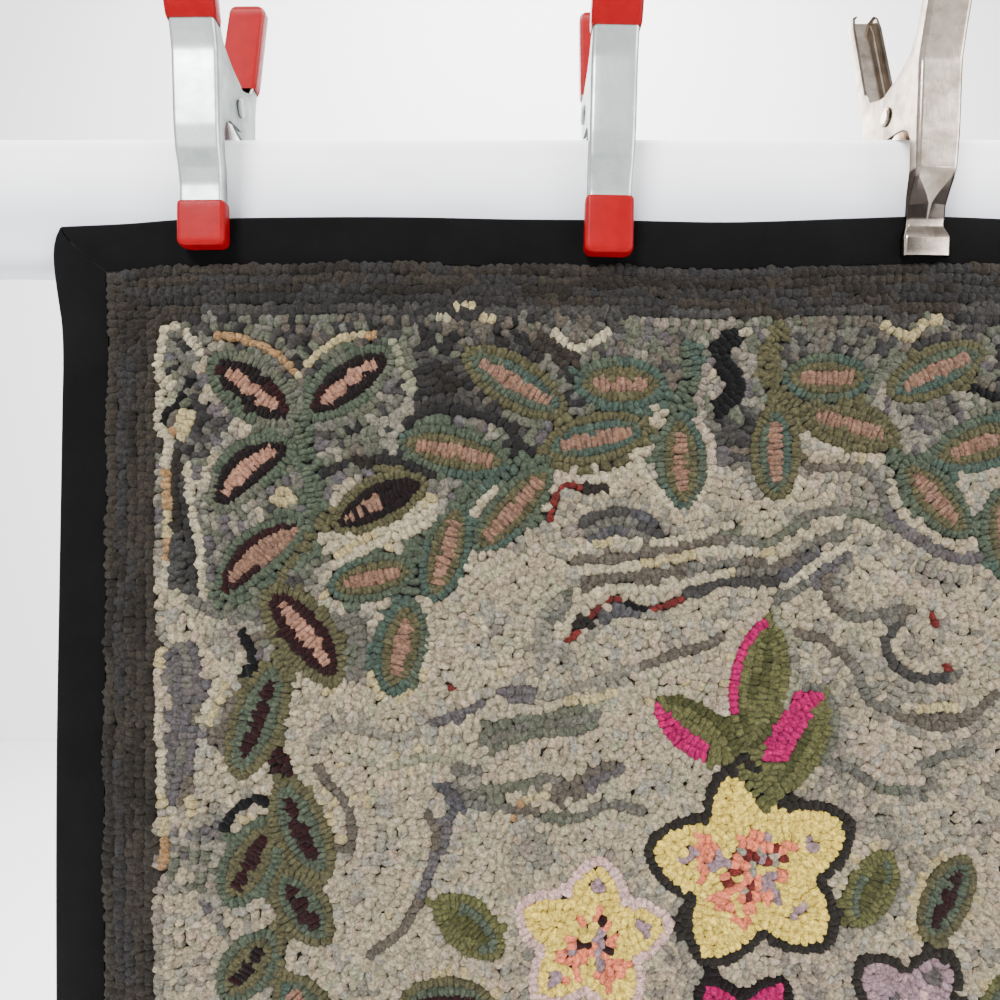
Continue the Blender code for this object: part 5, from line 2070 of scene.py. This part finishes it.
def add_light(name, place, target, size, power):
    """A square area light that faces its target."""
    lamp = bpy.data.lights.new(name, "AREA")
    lamp.size = size
    lamp.energy = power
    light = bpy.data.objects.new(name, lamp)
    light.location = place
    light.rotation_euler = (Vector(target) - Vector(place)).to_track_quat("-Z", "Y").to_euler()
    bpy.context.scene.collection.objects.link(light)


def add_plane(name, corners, material):
    mesh = bpy.data.meshes.new(name)
    mesh.from_pydata(corners, [], [(0, 1, 2, 3)])
    mesh.materials.append(material)
    plane = bpy.data.objects.new(name, mesh)
    bpy.context.scene.collection.objects.link(plane)


FLOOR_Z = -1.30
FLOOR_FRONT = -5
WALL_Y = 3.2
WALL_TOP = 4
STAGE_HALF = 5
SKY_STRENGTH = 1.22
Light = namedtuple("Light", "name place target size power")
LIGHTS = [
    Light("key", (-1.1, -1.9, 1.5), (0, 0, -0.45), 1.0, 176),
    Light("fill", (1.9, -1.6, 0.2), (0, 0, -0.45), 1.6, 66),
    Light("wall_wash", (0, 1.2, 2.4), (0, WALL_Y, -0.6), 2.2, 345),
    Light("behind", (-0.6, 1.9, 1.2), (0, 0, -0.5), 1.2, 62),
]


def add_stage(materials):
    """A pale floor and wall, and soft lights."""
    pale = materials["stage"]
    left, right = -STAGE_HALF, STAGE_HALF
    corners = [(left, WALL_Y, FLOOR_Z), (right, WALL_Y, FLOOR_Z)]
    front = [(left, FLOOR_FRONT, FLOOR_Z), (right, FLOOR_FRONT, FLOOR_Z)]
    add_plane("floor", front + corners[::-1], pale)
    add_plane("wall", corners + [(right, WALL_Y, WALL_TOP), (left, WALL_Y, WALL_TOP)], pale)
    for light in LIGHTS:
        add_light(*light)
    world = bpy.data.worlds.new("room")
    world.use_nodes = True
    world.node_tree.nodes["Background"].inputs["Color"].default_value = (1.0, 1.0, 1.0, 1.0)
    world.node_tree.nodes["Background"].inputs["Strength"].default_value = SKY_STRENGTH
    bpy.context.scene.world = world


CAMERA_PLACE = (-0.1308, -0.4428, -0.1643)
CAMERA_LENS = 28.0


def add_camera():
    lens = bpy.data.cameras.new("photo_camera")
    lens.lens = CAMERA_LENS
    lens.sensor_width = 36.0
    lens.dof.use_dof = False
    camera = bpy.data.objects.new("photo_camera", lens)
    camera.location = CAMERA_PLACE
    camera.rotation_euler = (math.radians(90), 0, 0)
    bpy.context.scene.collection.objects.link(camera)
    bpy.context.scene.camera = camera


def main():
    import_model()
    materials = make_materials()
    add_rug(materials)
    add_bindings(materials)
    add_rail(materials)
    for clamp in CLAMPS:
        add_clamp(clamp, materials)
    add_stage(materials)
    add_camera()


main()
